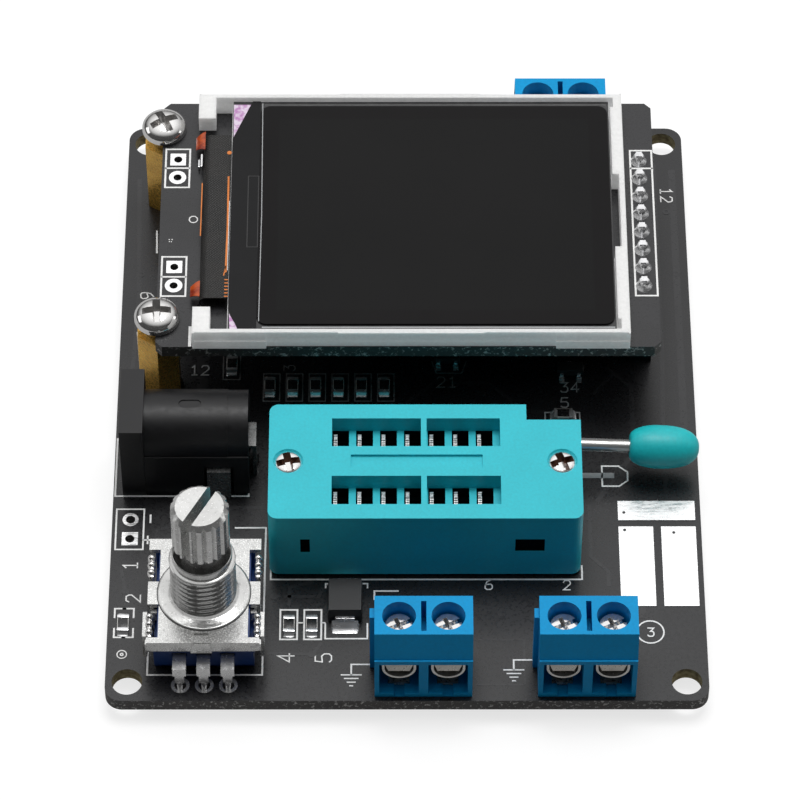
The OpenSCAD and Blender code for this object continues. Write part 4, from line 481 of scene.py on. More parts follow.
def lathe(bm, profile, place, n=48):
    """Turns an outline of (radius, height) in mm about Z and places it with a matrix in mm."""
    rows = []
    for r, z in profile:
        if r < 1e-6:
            rows.append([bm.verts.new((place @ Vector((0, 0, z))) * MM)])
        else:
            rows.append([bm.verts.new((place @ Vector((x, y, z))) * MM) for x, y in circle(0, 0, r, n)])
    for a, b in zip(rows, rows[1:]):
        for i in range(n):
            j = (i + 1) % n
            q = [a[i % len(a)], a[j % len(a)], b[j % len(b)], b[i % len(b)]]
            q = [v for k, v in enumerate(q) if v not in q[:k]]
            if len(q) > 2:
                bm.faces.new(q)


def box(bm, lo, hi, mat=0, bevel=0.0):
    """Upright box between two corners, with its edges rounded where a bevel is given."""
    vs = prism(bm, [(lo[0], lo[1]), (hi[0], lo[1]), (hi[0], hi[1]), (lo[0], hi[1])], lo[2], hi[2], mat)
    if bevel:
        edges = list(dict.fromkeys(e for v in vs for e in v.link_edges))
        bmesh.ops.bevel(bm, geom=edges, offset=bevel * MM, segments=2, affect="EDGES", profile=0.6,
                        material=-1)
    return vs


# ---------------------------------------------------------------- camera, lights, floor

cam = bpy.data.cameras.new("camera")
camera = bpy.data.objects.new("camera", cam)
bpy.context.scene.collection.objects.link(camera)
# fitted to the photo: the camera's right, up and back directions, its place (the height counts from the
# board's top face), and its focal length in pixels of a picture 800 wide
AXES = ((0.99999751, -0.00165306, 0.00149675), (0.00038481, 0.78903785, 0.61434447),
        (-0.00219653, -0.61434236, 0.78903652))
PLACE = (-1.774166, -308.376275, 396.221332 + TOP)
FOCAL_PX, PHOTO_PX = 4598.1335, 800
camera.matrix_world = Matrix([[axis[i] for axis in AXES] + [PLACE[i] * MM] for i in range(3)]
                             + [[0, 0, 0, 1]])
cam.sensor_width = 36.0
cam.lens = cam.sensor_width * FOCAL_PX / PHOTO_PX
cam.clip_start, cam.clip_end = 0.01, 10
bpy.context.scene.camera = camera
bpy.context.scene.view_settings.view_transform = "Standard"

# a dome of light: bright overhead and behind, nearly dark elsewhere, and plain white to the camera
DIM_BELOW, BRIGHT_ABOVE, DIM, BRIGHT = 0.48, 0.93, 0.02, 1.20
world = bpy.data.worlds.new("studio")
bpy.context.scene.world = world
world.use_nodes = True
sky = world.node_tree
dome = sky.nodes["Background"]
sky.nodes.remove(sky.nodes["World Output"])
sky_output = sky.nodes.new("ShaderNodeOutputWorld")
plain = sky.nodes.new("ShaderNodeBackground")
plain.inputs["Color"].default_value = (1, 1, 1, 1)
plain.inputs["Strength"].default_value = 1.0
_, wy, wz = split(sky, sky.nodes.new("ShaderNodeTexCoord").outputs["Generated"])
lean = maths(sky, "ADD", maths(sky, "MULTIPLY", wy, 0.46), maths(sky, "MULTIPLY", wz, 0.89))
dome.inputs["Color"].default_value = (1, 1, 1, 1)
sky.links.new(ramp(sky, lean, DIM_BELOW, BRIGHT_ABOVE, DIM, BRIGHT), dome.inputs["Strength"])
seen_by = sky.nodes.new("ShaderNodeLightPath")
choice = sky.nodes.new("ShaderNodeMixShader")
sky.links.new(seen_by.outputs["Is Camera Ray"], choice.inputs[0])
sky.links.new(dome.outputs[0], choice.inputs[1])
sky.links.new(plain.outputs[0], choice.inputs[2])
sky.links.new(choice.outputs[0], sky_output.inputs["Surface"])


def area(name, place, aim, size, energy, size_y):
    """Rectangular lamp: places and sizes in metres, energy in watts."""
    d = bpy.data.lights.new(name, "AREA")
    d.energy = energy
    d.shape = "RECTANGLE"
    d.size = size
    d.size_y = size_y
    o = bpy.data.objects.new(name, d)
    bpy.context.scene.collection.objects.link(o)
    o.location = place
    o.rotation_euler = (Vector(aim) - Vector(place)).to_track_quat("-Z", "Y").to_euler()


area("overhead", (0.03, 0.12, 0.68), (0, 0.02, 0.01), 0.34, 1.9, 0.22)
for name, x in (("left", -0.60), ("right", 0.60)):
    area(name, (x, 0.12, 0.28), (0, 0, 0.01), 0.30, 0.30, 0.22)

# paper floor: takes the shadow, and glows just enough to reach white in the picture and in shiny parts
bm = bmesh.new()
bmesh.ops.create_grid(bm, x_segments=1, y_segments=1, size=3.0)
for v in bm.verts:
    v.co.z = FLOOR * MM
me = bpy.data.meshes.new("floor")
bm.to_mesh(me)
bm.free()
floor = bpy.data.objects.new("floor", me)
bpy.context.scene.collection.objects.link(floor)
paper, paper_nodes, paper_shader = material("floor_paper")
paper_shader.inputs["Base Color"].default_value = (0.34, 0.34, 0.34, 1)
paper_shader.inputs["Roughness"].default_value = 0.9
paper_shader.inputs["Specular IOR Level"].default_value = 0.0
paper_shader.inputs["Emission Color"].default_value = (1, 1, 1, 1)
seen_by = paper_nodes.nodes.new("ShaderNodeLightPath")
seen = maths(paper_nodes, "MAXIMUM", seen_by.outputs["Is Camera Ray"], seen_by.outputs["Is Transmission Ray"])
glow = maths(paper_nodes, "MULTIPLY", seen, 0.74)
sheen = maths(paper_nodes, "MULTIPLY", seen_by.outputs["Is Glossy Ray"], 0.15)
paper_nodes.links.new(maths(paper_nodes, "ADD", glow, sheen), paper_shader.inputs["Emission Strength"])
me.materials.append(paper)


# ---------------------------------------------------------------- materials of the CAD nodes

looks = {
    "main_board": "board", "test_pads": "pad", "edge_solder": "solder", "socket_solder": "solder",
    "lcd_board": "lcd_board", "lcd_frame": "white", "lcd_backlight": "diffuser", "lcd_glass": "glass",
    "lcd_polarizer": "film", "lcd_tape": "tape", "lcd_flex": "flex", "lcd_header_pins": "solder",
    "lcd_header_strip": "black", "lcd_header_socket": "black", "lcd_standoffs": "brass",
    "lcd_upper_screws": "chrome", "lcd_lower_screws": "chrome",
    "zif_base": "turquoise", "zif_cover": "turquoise", "zif_slider": "turquoise", "zif_contacts": "tinned",
    "zif_lever": "rod", "zif_lever_knob": "knob", "zif_cover_screws": "chrome",
    "encoder_base": "dark_blue", "encoder_frame": "plate", "encoder_bushing": "zinc",
    "encoder_rotor": "white", "encoder_shaft": "zinc", "encoder_dome": "chrome", "encoder_pins": "tinned",
    "jack_housing": "black", "jack_center_pin": "tab", "jack_spring": "tinned", "jack_side_contact": "tab",
    "microcontroller": "epoxy", "microcontroller_socket": "black_smooth", "crystal": "crystal_can",
    "suppressor_diode": "epoxy", "chip_resistors": "chip_glaze", "chip_transistors": "epoxy",
    "chip_capacitors": "tan",
}
for side in ("left", "right", "back"):
    looks[side + "_terminal_housing"] = "blue"
    looks[side + "_terminal_contacts"] = "clamp"
    for k in "ab":
        looks[f"{side}_terminal_guard_{k}"] = "guard"
        looks[f"{side}_terminal_screw_{k}"] = "chrome"
for name, look in looks.items():
    me = nodes[name].data
    me.materials.clear()
    me.materials.append(M[look])


# ---------------------------------------------------------------- printing on the main board

SILK = 0.19            # usual width of a printed line
INK = 0.025            # how far print stands proud
GREY, FAINT = 1, 2     # places of the grey and dim tones among the materials of board_print; on print under the display board they are painted shade
bm = bmesh.new()


def line(pts, w=SILK, closed=False, z=TOP, mat=0):
    ribbon(bm, pts, w, z, INK, closed, mat)


def frame_line(x0, y0, x1, y1, w=SILK, z=TOP, mat=0):
    line([(x0, y0), (x1, y0), (x1, y1), (x0, y1)], w, True, z, mat)


def ring(cx, cy, r, w=SILK, z=TOP):
    annulus(bm, cx, cy, r - w / 2, r + w / 2, z, INK, 28)


def brackets(x0, y0, x1, y1, arm, w=SILK, corners=("bl", "br", "tl", "tr")):
    """Only the corners of a printed frame."""
    for c in corners:
        x, sx = (x0, 1) if c[1] == "l" else (x1, -1)
        y, sy = (y0, 1) if c[0] == "b" else (y1, -1)
        line([(x + sx * arm, y), (x, y), (x, y + sy * arm)], w)


def ground(x, y, dx, dy):
    """Earth sign: a lead to the terminal and bars that get shorter."""
    line([(x + dx, y + dy), (x, y + dy), (x, y)], 0.18)
    for i, h in enumerate((1.05, 0.72, 0.42, 0.16)):
        line([(x - h, y - i * 0.46), (x + h, y - i * 0.46)], 0.16)


DIGITS = {
    "1": [[(0.1, 0.8), (0.3, 1), (0.3, 0)], [(0.08, 0), (0.52, 0)]],
    "2": [[(0, 0.8), (0.12, 1), (0.48, 1), (0.6, 0.82), (0.6, 0.62), (0, 0), (0.6, 0)]],
    "3": [[(0, 1), (0.6, 1), (0.28, 0.6), (0.48, 0.6), (0.6, 0.44), (0.6, 0.16), (0.46, 0), (0.12, 0),
           (0, 0.14)]],
    "4": [[(0.45, 0), (0.45, 1), (0, 0.3), (0.62, 0.3)]],
    "5": [[(0.58, 1), (0.06, 1), (0, 0.56), (0.44, 0.6), (0.6, 0.44), (0.6, 0.16), (0.46, 0), (0.12, 0),
           (0, 0.12)]],
    "6": [[(0.5, 1), (0.16, 0.8), (0, 0.4), (0, 0.14), (0.14, 0), (0.46, 0), (0.6, 0.14), (0.6, 0.42),
           (0.46, 0.56), (0.04, 0.5)]],
}


def number(text, x, y, h, turn=0.0, w=0.14, mat=0):
    """Plain position numbers, drawn as strokes."""
    c, s = math.cos(math.radians(turn)), math.sin(math.radians(turn))
    for i, ch in enumerate(text):
        for stroke in DIGITS[ch]:
            pts = [((px + i * 0.9) * h, py * h) for px, py in stroke]
            line([(x + c * a - s * b, y + s * a + c * b) for a, b in pts], w, mat=mat)


# power jack and the battery holes
line([(-31.3, -5.2), (-31.3, -12.97), (-16.95, -12.97), (-16.95, -11.6)])
frame_line(-31.05, -20.05, -28.1, -14.72, 0.18)
line([(-27.4, -15.5), (-27.4, -16.5)], 0.2)
line([(-28.1, -18.8), (-27.15, -18.8)], 0.18)
line([(-27.62, -18.3), (-27.62, -19.3)], 0.18)
number("1", -28.6, -22.6, 1.5, 90)
# encoder
line([(-18.3, -17.2), (-15.02, -17.2), (-15.12, -36.24), (-27.13, -36.24), (-27.13, -33.4)])
brackets(-30.78, -31.46, -28.78, -27.77, 1.15)
number("2", -28.15, -26.9, 1.5, 90)
ring(-29.86, -33.63, 0.5, 0.12)
ring(-29.86, -33.63, 0.14, 0.14)
# test socket
line([(-14.42, -22.4), (-14.42, -24.0), (18.6, -24.0), (18.6, -22.2)])
# diode and the two resistors beside it
brackets(-8.58, -31.64, -4.15, -24.54, 0.55, 0.17, ("tl", "tr"))
line([(-8.58, -29.7), (-8.58, -31.64), (-4.15, -31.64), (-4.15, -29.7)], 0.17)
frame_line(-13.32, -31.73, -11.53, -27.94)
frame_line(-10.8, -31.73, -9.0, -27.94)
line([(-11.5, -29.6), (-10.85, -29.6)], 0.14)
line([(-8.95, -29.6), (-8.6, -29.6)], 0.14)
number("4", -11.8, -34.6, 1.7, 90)
number("5", -7.9, -34.6, 1.7, 90)
# terminals
line([(-3.42, -26.6), (-3.42, -25.5), (-0.9, -25.5)])
ground(-5.82, -36.24, 2.4, 1.32)
ground(11.16, -35.62, 2.3, 1.26)
number("6", 8.3, -25.3, 1.25)
number("2", 16.6, -25.35, 1.2, 0, 0.13)
ring(25.6, -30.8, 1.42, 0.16)
number("3", 25.32, -31.35, 1.05)
# rows in front of the display
# these marks lie under the display board; their grey and dim tones are painted shade
for i in range(6):
    x = -14.72 + 2.5 * i
    frame_line(x - 0.9, -0.05, x + 0.9, 3.75, 0.13, mat=FAINT)
frame_line(-20.05, 2.95, -18.2, 6.6, 0.13, mat=FAINT)
number("12", -23.6, 3.6, 1.3, 0, 0.14, GREY)
number("3", -12.2, 4.2, 1.2, 90, 0.12, FAINT)
line([(2.85, 5.5), (3.3, 3.85), (6.1, 3.85), (6.6, 5.5)], 0.12, mat=FAINT)
number("21", 3.4, 1.9, 1.4, 0, 0.13, FAINT)
line([(16.8, 4.5), (17.2, 3.75), (17.7, 3.75)], 0.12, mat=GREY)
line([(18.6, 3.75), (19.4, 3.75), (19.5, 4.7)], 0.12, mat=GREY)
number("34", 16.9, 1.2, 1.3, 0, 0.13, GREY)
line([(15.13, -3.2), (15.13, -1.62), (18.9, -1.62), (18.9, -3.2)], 0.14, mat=GREY)
number("5", 16.9, -0.9, 1.3, 0, 0.13, GREY)
# lever sign: closed position
line([(18.9, -10.22), (22.2, -10.22)], 0.7, mat=GREY)
line([(21.1, -11.66), (21.1, -8.96), (22.9, -8.96), (23.84, -9.75), (23.84, -10.9), (22.9, -11.66)],
     0.18, True)
# left edge
line([(-29.64, 9.6), (-29.15, 4.2)], 0.18)
line([(-27.95, 24.2), (-27.86, 21.0)], 0.2)
number("4", -29.3, 11.5, 1.4, -83)
number("6", -29.5, 15.2, 1.4, -83)
number("12", 28.85, 30.4, 1.3, -90)
finish_mesh("board_print", bm, ["silk", "grey_silk_shade_and_highlight", "dim_silk_shade_and_highlight"])

# printing on the display board
bm = bmesh.new()
for y0, y1, mid in ((20.71, 26.25, 23.5), (5.29, 10.79, 7.98)):
    frame_line(-26.5, y0, -23.85, y1, 0.2, LCD)
    line([(-26.5, mid), (-23.85, mid)], 0.2, z=LCD)
frame_line(24.78, 5.34, 27.15, 26.04, 0.2, LCD)
line([(24.78, 23.45), (27.15, 23.45)], 0.2, z=LCD)
line([(-23.2, 1.0), (-23.2, -1.55)], 0.34, z=LCD)
for dx, dy in ((0, 0), (0.22, 0), (0, 0.3), (0.3, 0.3)):
    annulus(bm, -25.8 + dx, 12.95 + dy, 0.02, 0.07, LCD, 0.02, 10)
ring(-23.25, 16.1, 0.45, 0.13, LCD)
finish_mesh("display_print", bm, ["silk"])

# ---------------------------------------------------------------- pads, tracks and vias

bm = bmesh.new()
annulus(bm, -29.53, -16.11, 0.5, 0.86, TOP, 0.04)
annulus(bm, -29.53, -18.65, 0.5, 0.9, TOP, 0.04, square=0.86)
for y, sq in ((24.74, 0.86), (22.14, None), (9.36, 0.86), (6.76, None)):
    annulus(bm, -25.15, y, 0.45, 0.95, LCD, 0.04, square=sq)
finish_mesh("bare_pads", bm, "pad")

bm = bmesh.new()
tracks = [
    ([(-30.15, 31.8), (-29.65, 15.0), (-29.9, 6.0), (-30.6, -2.0), (-30.7, -11.0)], 0.5),
    ([(28.17, 34.0), (28.17, 6.4), (27.9, -3.4), (27.9, -12.4)], 0.5),
    ([(30.2, 33.0), (30.2, -10.0)], 0.8),
    ([(7.2, -31.8), (12.3, -31.8), (12.3, -37.5), (7.2, -37.5)], 0.22),
    ([(-26.6, -22.0), (-26.6, -17.5), (-18.5, -14.5), (-12.5, -14.5)], 0.4),
    ([(-13.8, -26.2), (-9.3, -26.2), (-8.9, -25.2)], 0.35),
    ([(-14.4, -33.5), (-9.94, -33.64), (-9.0, -32.2)], 0.35),
    ([(-12.4, -27.7), (-12.4, -25.0), (-10.0, -24.3)], 0.4),
    ([(20.5, -13.6), (24.6, -7.2), (24.6, 2.0), (22.0, 4.5)], 0.5),
    ([(19.6, -14.2), (19.6, -21.0), (21.4, -23.0), (21.4, -24.8)], 0.4),
    ([(24.9, -24.2), (24.9, -28.9)], 0.7),
    ([(-30.3, -22.5), (-29.8, -25.6), (-29.8, -27.4)], 0.35),
    ([(-22.3, 1.8), (-22.3, 6.1), (-20.6, 8.0), (-20.6, 14.0)], 1.3),
    ([(5.0, 2.5), (9.0, 2.5), (13.0, -1.5), (15.0, -1.5)], 0.4),
    ([(-1.0, -1.2), (4.0, 3.4)], 0.35), ([(20.5, 1.0), (22.5, 3.5)], 0.35),
]
for pts, w in tracks:
    ribbon(bm, pts, w, TOP, 0.018)
for x in range(-20, 21, 5):
    ribbon(bm, [(x, 36.5), (x, 30.5), (x + 2.5, 28.0), (x + 2.5, 20.0)], 0.4, TOP, 0.018)
OPEN_VIAS = [(-29.8, -25.6), (-9.94, -33.64), (-28.9, 28.5), (30.2, 18.0), (24.6, -3.0), (20.0, 14.0),
             (-14.0, -26.2)]
COVERED_VIAS = [(19.6, -16.0), (29.9, -8.4), (10.0, -28.4), (-17.2, -14.9), (8.3, 1.0), (-29.5, 17.9),
                (29.4, 27.0)]
for x, y in OPEN_VIAS + COVERED_VIAS:
    annulus(bm, x, y, 0.2, 0.42, TOP, 0.03, 20)
finish_mesh("masked_tracks", bm, "track")

# black discs in the open vias and three more small holes, which are not cut: painted shade for their dark
# insides
bm = bmesh.new()
for x, y in OPEN_VIAS:
    prism(bm, circle(x, y, 0.2, 16), TOP, TOP + 0.012)
for x, y in ((23.28, -15.24), (23.3, -17.56), (28.54, -17.9)):
    prism(bm, circle(x, y, 0.17, 16), TOP + 0.1, TOP + 0.112)
finish_mesh("via_hole_shade", bm, "black_smooth")

# ---------------------------------------------------------------- dressed small parts

def islands(name):
    """Box of each loose solid of a node, in mm."""
    me = nodes[name].data
    link = list(range(len(me.vertices)))

    def root(i):
        while link[i] != i:
            link[i] = link[link[i]]
            i = link[i]
        return i

    for e in me.edges:
        a, b = root(e.vertices[0]), root(e.vertices[1])
        if a != b:
            link[b] = a
    out = {}
    for v in me.vertices:
        c = nodes[name].matrix_world @ v.co / MM
        lo, hi = out.setdefault(root(v.index), ([1e9] * 3, [-1e9] * 3))
        for k in range(3):
            lo[k] = min(lo[k], c[k])
            hi[k] = max(hi[k], c[k])
    return merge(list(out.values()))


def merge(boxes):
    """Joins boxes that overlap, as a solid's faces may come unwelded."""
    done = False
    while not done:
        done = True
        for i in range(len(boxes)):
            for j in range(i + 1, len(boxes)):
                (a, b), (c, d) = boxes[i], boxes[j]
                if all(a[k] <= d[k] + 0.02 and c[k] <= b[k] + 0.02 for k in range(3)):
                    boxes[i] = ([min(a[k], c[k]) for k in range(3)], [max(b[k], d[k]) for k in range(3)])
                    boxes.pop(j)
                    done = False
                    break
            if not done:
                break
    return sorted(boxes, key=lambda q: (round(q[0][1], 1), round(q[0][0], 1)))


def oriented(lo, hi):
    """Size along and across, and a placer that runs the piece along its longer side."""
    cx, cy = (lo[0] + hi[0]) / 2, (lo[1] + hi[1]) / 2
    w, l = hi[0] - lo[0], hi[1] - lo[1]
    along_y = l > w
    place = (lambda a, b: (cx + b, cy + a)) if along_y else (lambda a, b: (cx + a, cy + b))
    return max(w, l), min(w, l), place


def place_box(bm, place, a0, a1, b0, b1, z0, z1, mat, bevel=0.0):
    """Box given along and across the piece that the placer turns."""
    p, q = place(a0, b0), place(a1, b1)
    box(bm, (min(p[0], q[0]), min(p[1], q[1]), z0), (max(p[0], q[0]), max(p[1], q[1]), z1), mat, bevel)


def fillet(bm, place, a0, a1, b, z, h, mat):
    """Solder meniscus: a concave slope from the pad's end up to the cap."""
    rows = []
    for i in range(6):
        f = i / 5
        k = (1 - math.cos(f * math.pi / 2)) * h
        x = a0 + (a1 - a0) * f
        half = b * (1 - 0.12 * (1 - f))
        row = []
        for y, zz in ((-half, z), (-half * 0.9, z + k + 0.02), (half * 0.9, z + k + 0.02), (half, z)):
            px, py = place(x, y)
            row.append(bm.verts.new((px * MM, py * MM, zz * MM)))
        rows.append(row)
    for a, c in zip(rows, rows[1:]):
        for j in range(4):
            bm.faces.new((a[j], a[(j + 1) % 4], c[(j + 1) % 4], c[j])).material_index = mat
    bm.faces.new(rows[0]).material_index = mat
    bm.faces.new(rows[-1][::-1]).material_index = mat


def chips(node_name, body, name):
    """Chip parts: body, glazed top on resistors, plated end caps and their solder."""
    glazed = body == "chip_glaze"
    bm = bmesh.new()
    for lo, hi in islands(node_name):
        L, W, place = oriented(lo, hi)
        z0, z1 = lo[2], hi[2]
        a, b = L / 2, W / 2
        place_box(bm, place, -a + 0.3, a - 0.3, -b + 0.02, b - 0.02, z0 + 0.05, z1 - 0.06, 0, 0.03)
        if glazed:
            place_box(bm, place, -a + 0.36, a - 0.36, -b + 0.1, b - 0.1, z1 - 0.07, z1 - 0.03, 1, 0.01)
        for s in (-1, 1):
            p, q = sorted((s * a, s * (a - 0.38)))
            place_box(bm, place, p, q, -b, b, z0 + 0.03, z1, 2, 0.06)
            fillet(bm, place, s * (a + 0.42), s * (a - 0.02), b * 0.98, z0, (z1 - z0) * 0.72, 2)
    o = finish_mesh(name, steady(bm), ["ceramic" if glazed else body, body, "solder"], smooth=40)
    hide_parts(node_name)
    return o


chips("chip_resistors", "chip_glaze", "resistor_chips")
chips("chip_capacitors", "tan", "capacitor_chips")

# suppressor diode: chamfered body, parting line, bent tabs and their solder
bm = bmesh.new()
(lo, hi), = islands("suppressor_diode")
cx, cy = (lo[0] + hi[0]) / 2, (lo[1] + hi[1]) / 2
prism(bm, rect(cx, cy, 3.5, 4.15), TOP + 0.12, TOP + 1.0, 0, -0.09)
prism(bm, rect(cx, cy, 3.62, 4.27), TOP + 1.0, TOP + 1.06, 0)
prism(bm, rect(cx, cy, 3.62, 4.27), TOP + 1.06, TOP + 2.12, 0, 0.16)
prism(bm, circle(cx - 1.1, cy - 1.35, 0.32, 24), TOP + 2.1, TOP + 2.13, 0)
for s in (-1, 1):
    for y0, y1, z0, z1 in ((2.05, 2.45, 0.95, 1.12), (2.3, 2.45, 0.12, 1.12), (1.3, 2.42, 0.03, 0.18)):
        p, q = sorted((cy + s * y0, cy + s * y1))
        box(bm, (cx - 1.0, p, TOP + z0), (cx + 1.0, q, TOP + z1), 1, 0.04)
    fillet(bm, lambda a, b: (cx + b, cy + a), s * 3.55, s * 2.44, 1.5, TOP, 0.75, 1)
o = finish_mesh("diode_body", steady(bm), ["epoxy", "solder"], smooth=35)
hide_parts("suppressor_diode")

# three-legged parts
bm = bmesh.new()
for lo, hi in islands("chip_transistors"):
    cx, cy = (lo[0] + hi[0]) / 2, (lo[1] + hi[1]) / 2
    w, l, h = hi[0] - lo[0], hi[1] - lo[1], hi[2] - lo[2]
    large = w > 4
    if large:
        prism(bm, rect(cx, cy, w - 0.1, l * 0.56), TOP + 0.08, TOP + h * 0.55, 0, -0.05)
        prism(bm, rect(cx, cy, w, l * 0.56 + 0.1), TOP + h * 0.55, TOP + h - 0.02, 0, 0.14)
    else:
        prism(bm, rect(cx, cy, w - 0.08, 1.24), TOP + 0.12, TOP + h * 0.55, 0, -0.05)
        prism(bm, rect(cx, cy, w - 0.02, 1.32), TOP + h * 0.55, TOP + h, 0, 0.1)
    pitch, half = (1.5, l * 0.28) if large else (0.95, 0.62)
    knee = h * 0.42
    leg = ((half - 0.05, half + 0.22, knee, knee + 0.14),
           (half + 0.1, half + 0.24, 0.05, knee + 0.12),
           (half + 0.12, l / 2 - 0.04, 0.04, 0.17))
    front = (-pitch, 0, pitch) if large else (-pitch, pitch)
    for dx, s in [(x, -1) for x in front] + [(0, 1)]:
        k = 0.75 if large and s > 0 else 0.2
        for y0, y1, z0, z1 in leg:
            p, q = sorted((cy + s * y0, cy + s * y1))
            box(bm, (cx + dx - k, p, TOP + z0), (cx + dx + k, q, TOP + z1), 1, 0.03)
        fillet(bm, lambda a, b: (cx + dx + b, cy + a), s * (l / 2 + 0.3), s * (l / 2 - 0.35), k + 0.12,
               TOP, 0.22, 1)
o = finish_mesh("transistor_bodies", steady(bm), ["epoxy", "solder"], smooth=35)
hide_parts("chip_transistors")


def carve(o, cutters):
    """Cuts closed shapes out of an object and keeps the result as its mesh."""
    for c in cutters:
        mod = o.modifiers.new("cut", "BOOLEAN")
        mod.operation = "DIFFERENCE"
        mod.solver = "EXACT"
        mod.object = c
    bpy.context.view_layer.update()
    deps = bpy.context.evaluated_depsgraph_get()
    me = bpy.data.meshes.new_from_object(o.evaluated_get(deps))
    o.modifiers.clear()
    o.data = me
    for c in cutters:
        bpy.data.objects.remove(c)


def cross_cutters(x, y, z, span, w, depth, turn):
    """Two tapered wedges that leave a crosshead recess, deeper in its middle."""
    out = []
    for k in (0, 90):
        bm = bmesh.new()
        a = math.radians(turn + k)
        ca, sa = math.cos(a), math.sin(a)
        rows = []
        for half, wide, zz in ((span / 2 + 0.05, w / 2 + 0.02, z + 0.6), (span / 2, w / 2, z),
                               (span * 0.22, w * 0.32, z - depth)):
            rows.append([bm.verts.new(((x + ca * p - sa * q) * MM, (y + sa * p + ca * q) * MM, zz * MM))
                         for p, q in ((-half, -wide), (half, -wide), (half, wide), (-half, wide))])
        for r0, r1 in zip(rows, rows[1:]):
            for i in range(4):
                bm.faces.new((r0[i], r0[(i + 1) % 4], r1[(i + 1) % 4], r1[i]))
        bm.faces.new(rows[0])
        bm.faces.new(rows[-1][::-1])
        bmesh.ops.recalc_face_normals(bm, faces=bm.faces)
        me = bpy.data.meshes.new("cutter")
        bm.to_mesh(me)
        bm.free()
        c = bpy.data.objects.new("cutter", me)
        bpy.context.scene.collection.objects.link(c)
        out.append(c)
    return out


DOWN = -99        # stands in a profile for the foot of the screw


def screws(node_name, name, profile, span, w, depth, turns, mats):
    """Crosshead screws: profile is a list of (radius, height below the top of the head)."""
    bm = bmesh.new()
    tops = []
    for lo, hi in islands(node_name):
        c = Vector(((lo[0] + hi[0]) / 2, (lo[1] + hi[1]) / 2, hi[2]))
        tops.append(c)
        lathe(bm, [(r, lo[2] - hi[2] if d == DOWN else d) for r, d in profile], Matrix.Translation(c), 64)
    o = finish_mesh(name, bm, mats)
    cut = []
    for c, t in zip(tops, turns):
        cut += cross_cutters(c.x, c.y, c.z - 0.12, span, w, depth, t)
    carve(o, cut)
    for f in o.data.polygons:
        f.use_smooth = True
        p = f.center / MM
        c = min(tops, key=lambda q: (q.x - p.x) ** 2 + (q.y - p.y) ** 2)
        d = math.hypot(p.x - c.x, p.y - c.y)
        out = Vector((p.x - c.x, p.y - c.y, 2.2)).normalized()
        # faces inside the cross take the second material: painted shade on the display screws, brown rust on
        # the socket screws
        if d < span / 2 and p.z > c.z - depth - 0.3 and f.normal.dot(out) < 0.82:
            f.material_index = 1
    o.data.set_sharp_from_angle(angle=math.radians(28))
    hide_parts(node_name)


PAN_R, PAN_H = 2.45, 1.7
pan = [(0, 0)] + [(PAN_R * math.sin(a), -(PAN_H - 0.45) * (1 - math.cos(a))) for a in
                  [math.radians(k) for k in (12, 24, 36, 47, 57, 66, 74, 81, 87)]]
pan += [(PAN_R, -PAN_H + 0.4), (PAN_R, -PAN_H + 0.12), (PAN_R - 0.1, -PAN_H), (1.45, -PAN_H),
        (1.45, DOWN), (0, DOWN)]
screws("lcd_upper_screws", "display_screws", pan, 3.4, 0.85, 1.25, (3, 27), ["chrome", "recess"])
SUNK_R = 1.5
sunk = [(0, 0), (0.5, -0.01), (0.9, -0.05), (1.2, -0.12), (1.38, -0.22), (SUNK_R - 0.02, -0.36),
        (SUNK_R, -0.5), (SUNK_R, -0.7), (1.05, -1.3), (0.9, -1.4), (0.9, DOWN), (0, DOWN)]
screws("zif_cover_screws", "socket_screws", sunk, 2.55, 0.8, 0.85, (12, 20), ["chrome", "rust"])

# neck of the encoder: boss, a thread of real helical crests, and the plain collar above it
AROUND, PITCH = 72, 0.75
CREST_R, THREAD_DEPTH = 3.47, 0.26
THREAD_LOW, THREAD_HIGH = 8.5, 14.2
bm = bmesh.new()
(lo, hi), = islands("encoder_bushing")
cx, cy = (lo[0] + hi[0]) / 2, (lo[1] + hi[1]) / 2
base = Matrix.Translation((cx, cy, 0))
lathe(bm, [(3.03, 8.3), (3.03, lo[2]), (4.0, lo[2]), (4.0, 8.05), (4.85, 8.05), (4.85, 8.2), (4.8, 8.27),
           (4.66, 8.3), (3.75, 8.32), (3.6, 8.4), (3.35, 8.52)], base, AROUND)
rows = []
z = THREAD_LOW
while z < THREAD_HIGH:
    fade = min(1, (z - THREAD_LOW + 0.2) / 0.5, (THREAD_HIGH + 0.25 - z) / 0.5)
    row = []
    for i in range(AROUND):
        turn = (z / PITCH - i / AROUND) % 1.0
        r = CREST_R - THREAD_DEPTH * (1 - abs(2 * turn - 1)) ** 0.8 * fade
        a = 2 * math.pi * i / AROUND
        row.append(bm.verts.new(((cx + r * math.cos(a)) * MM, (cy + r * math.sin(a)) * MM, z * MM)))
    rows.append(row)
    z += PITCH / 8
for a, b in zip(rows, rows[1:]):
    for i in range(AROUND):
        j = (i + 1) % AROUND
        bm.faces.new((a[i], a[j], b[j], b[i]))
lathe(bm, [(3.46, 14.16), (3.34, 14.27), (3.06, 14.27), (3.01, 14.3), (3.01, 14.42), (3.12, 14.5),
           (3.13, 15.22), (3.08, 15.36), (3.03, 15.38)], base, AROUND)
o = finish_mesh("threaded_neck", bm, "zinc", smooth=50)
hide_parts("encoder_bushing")

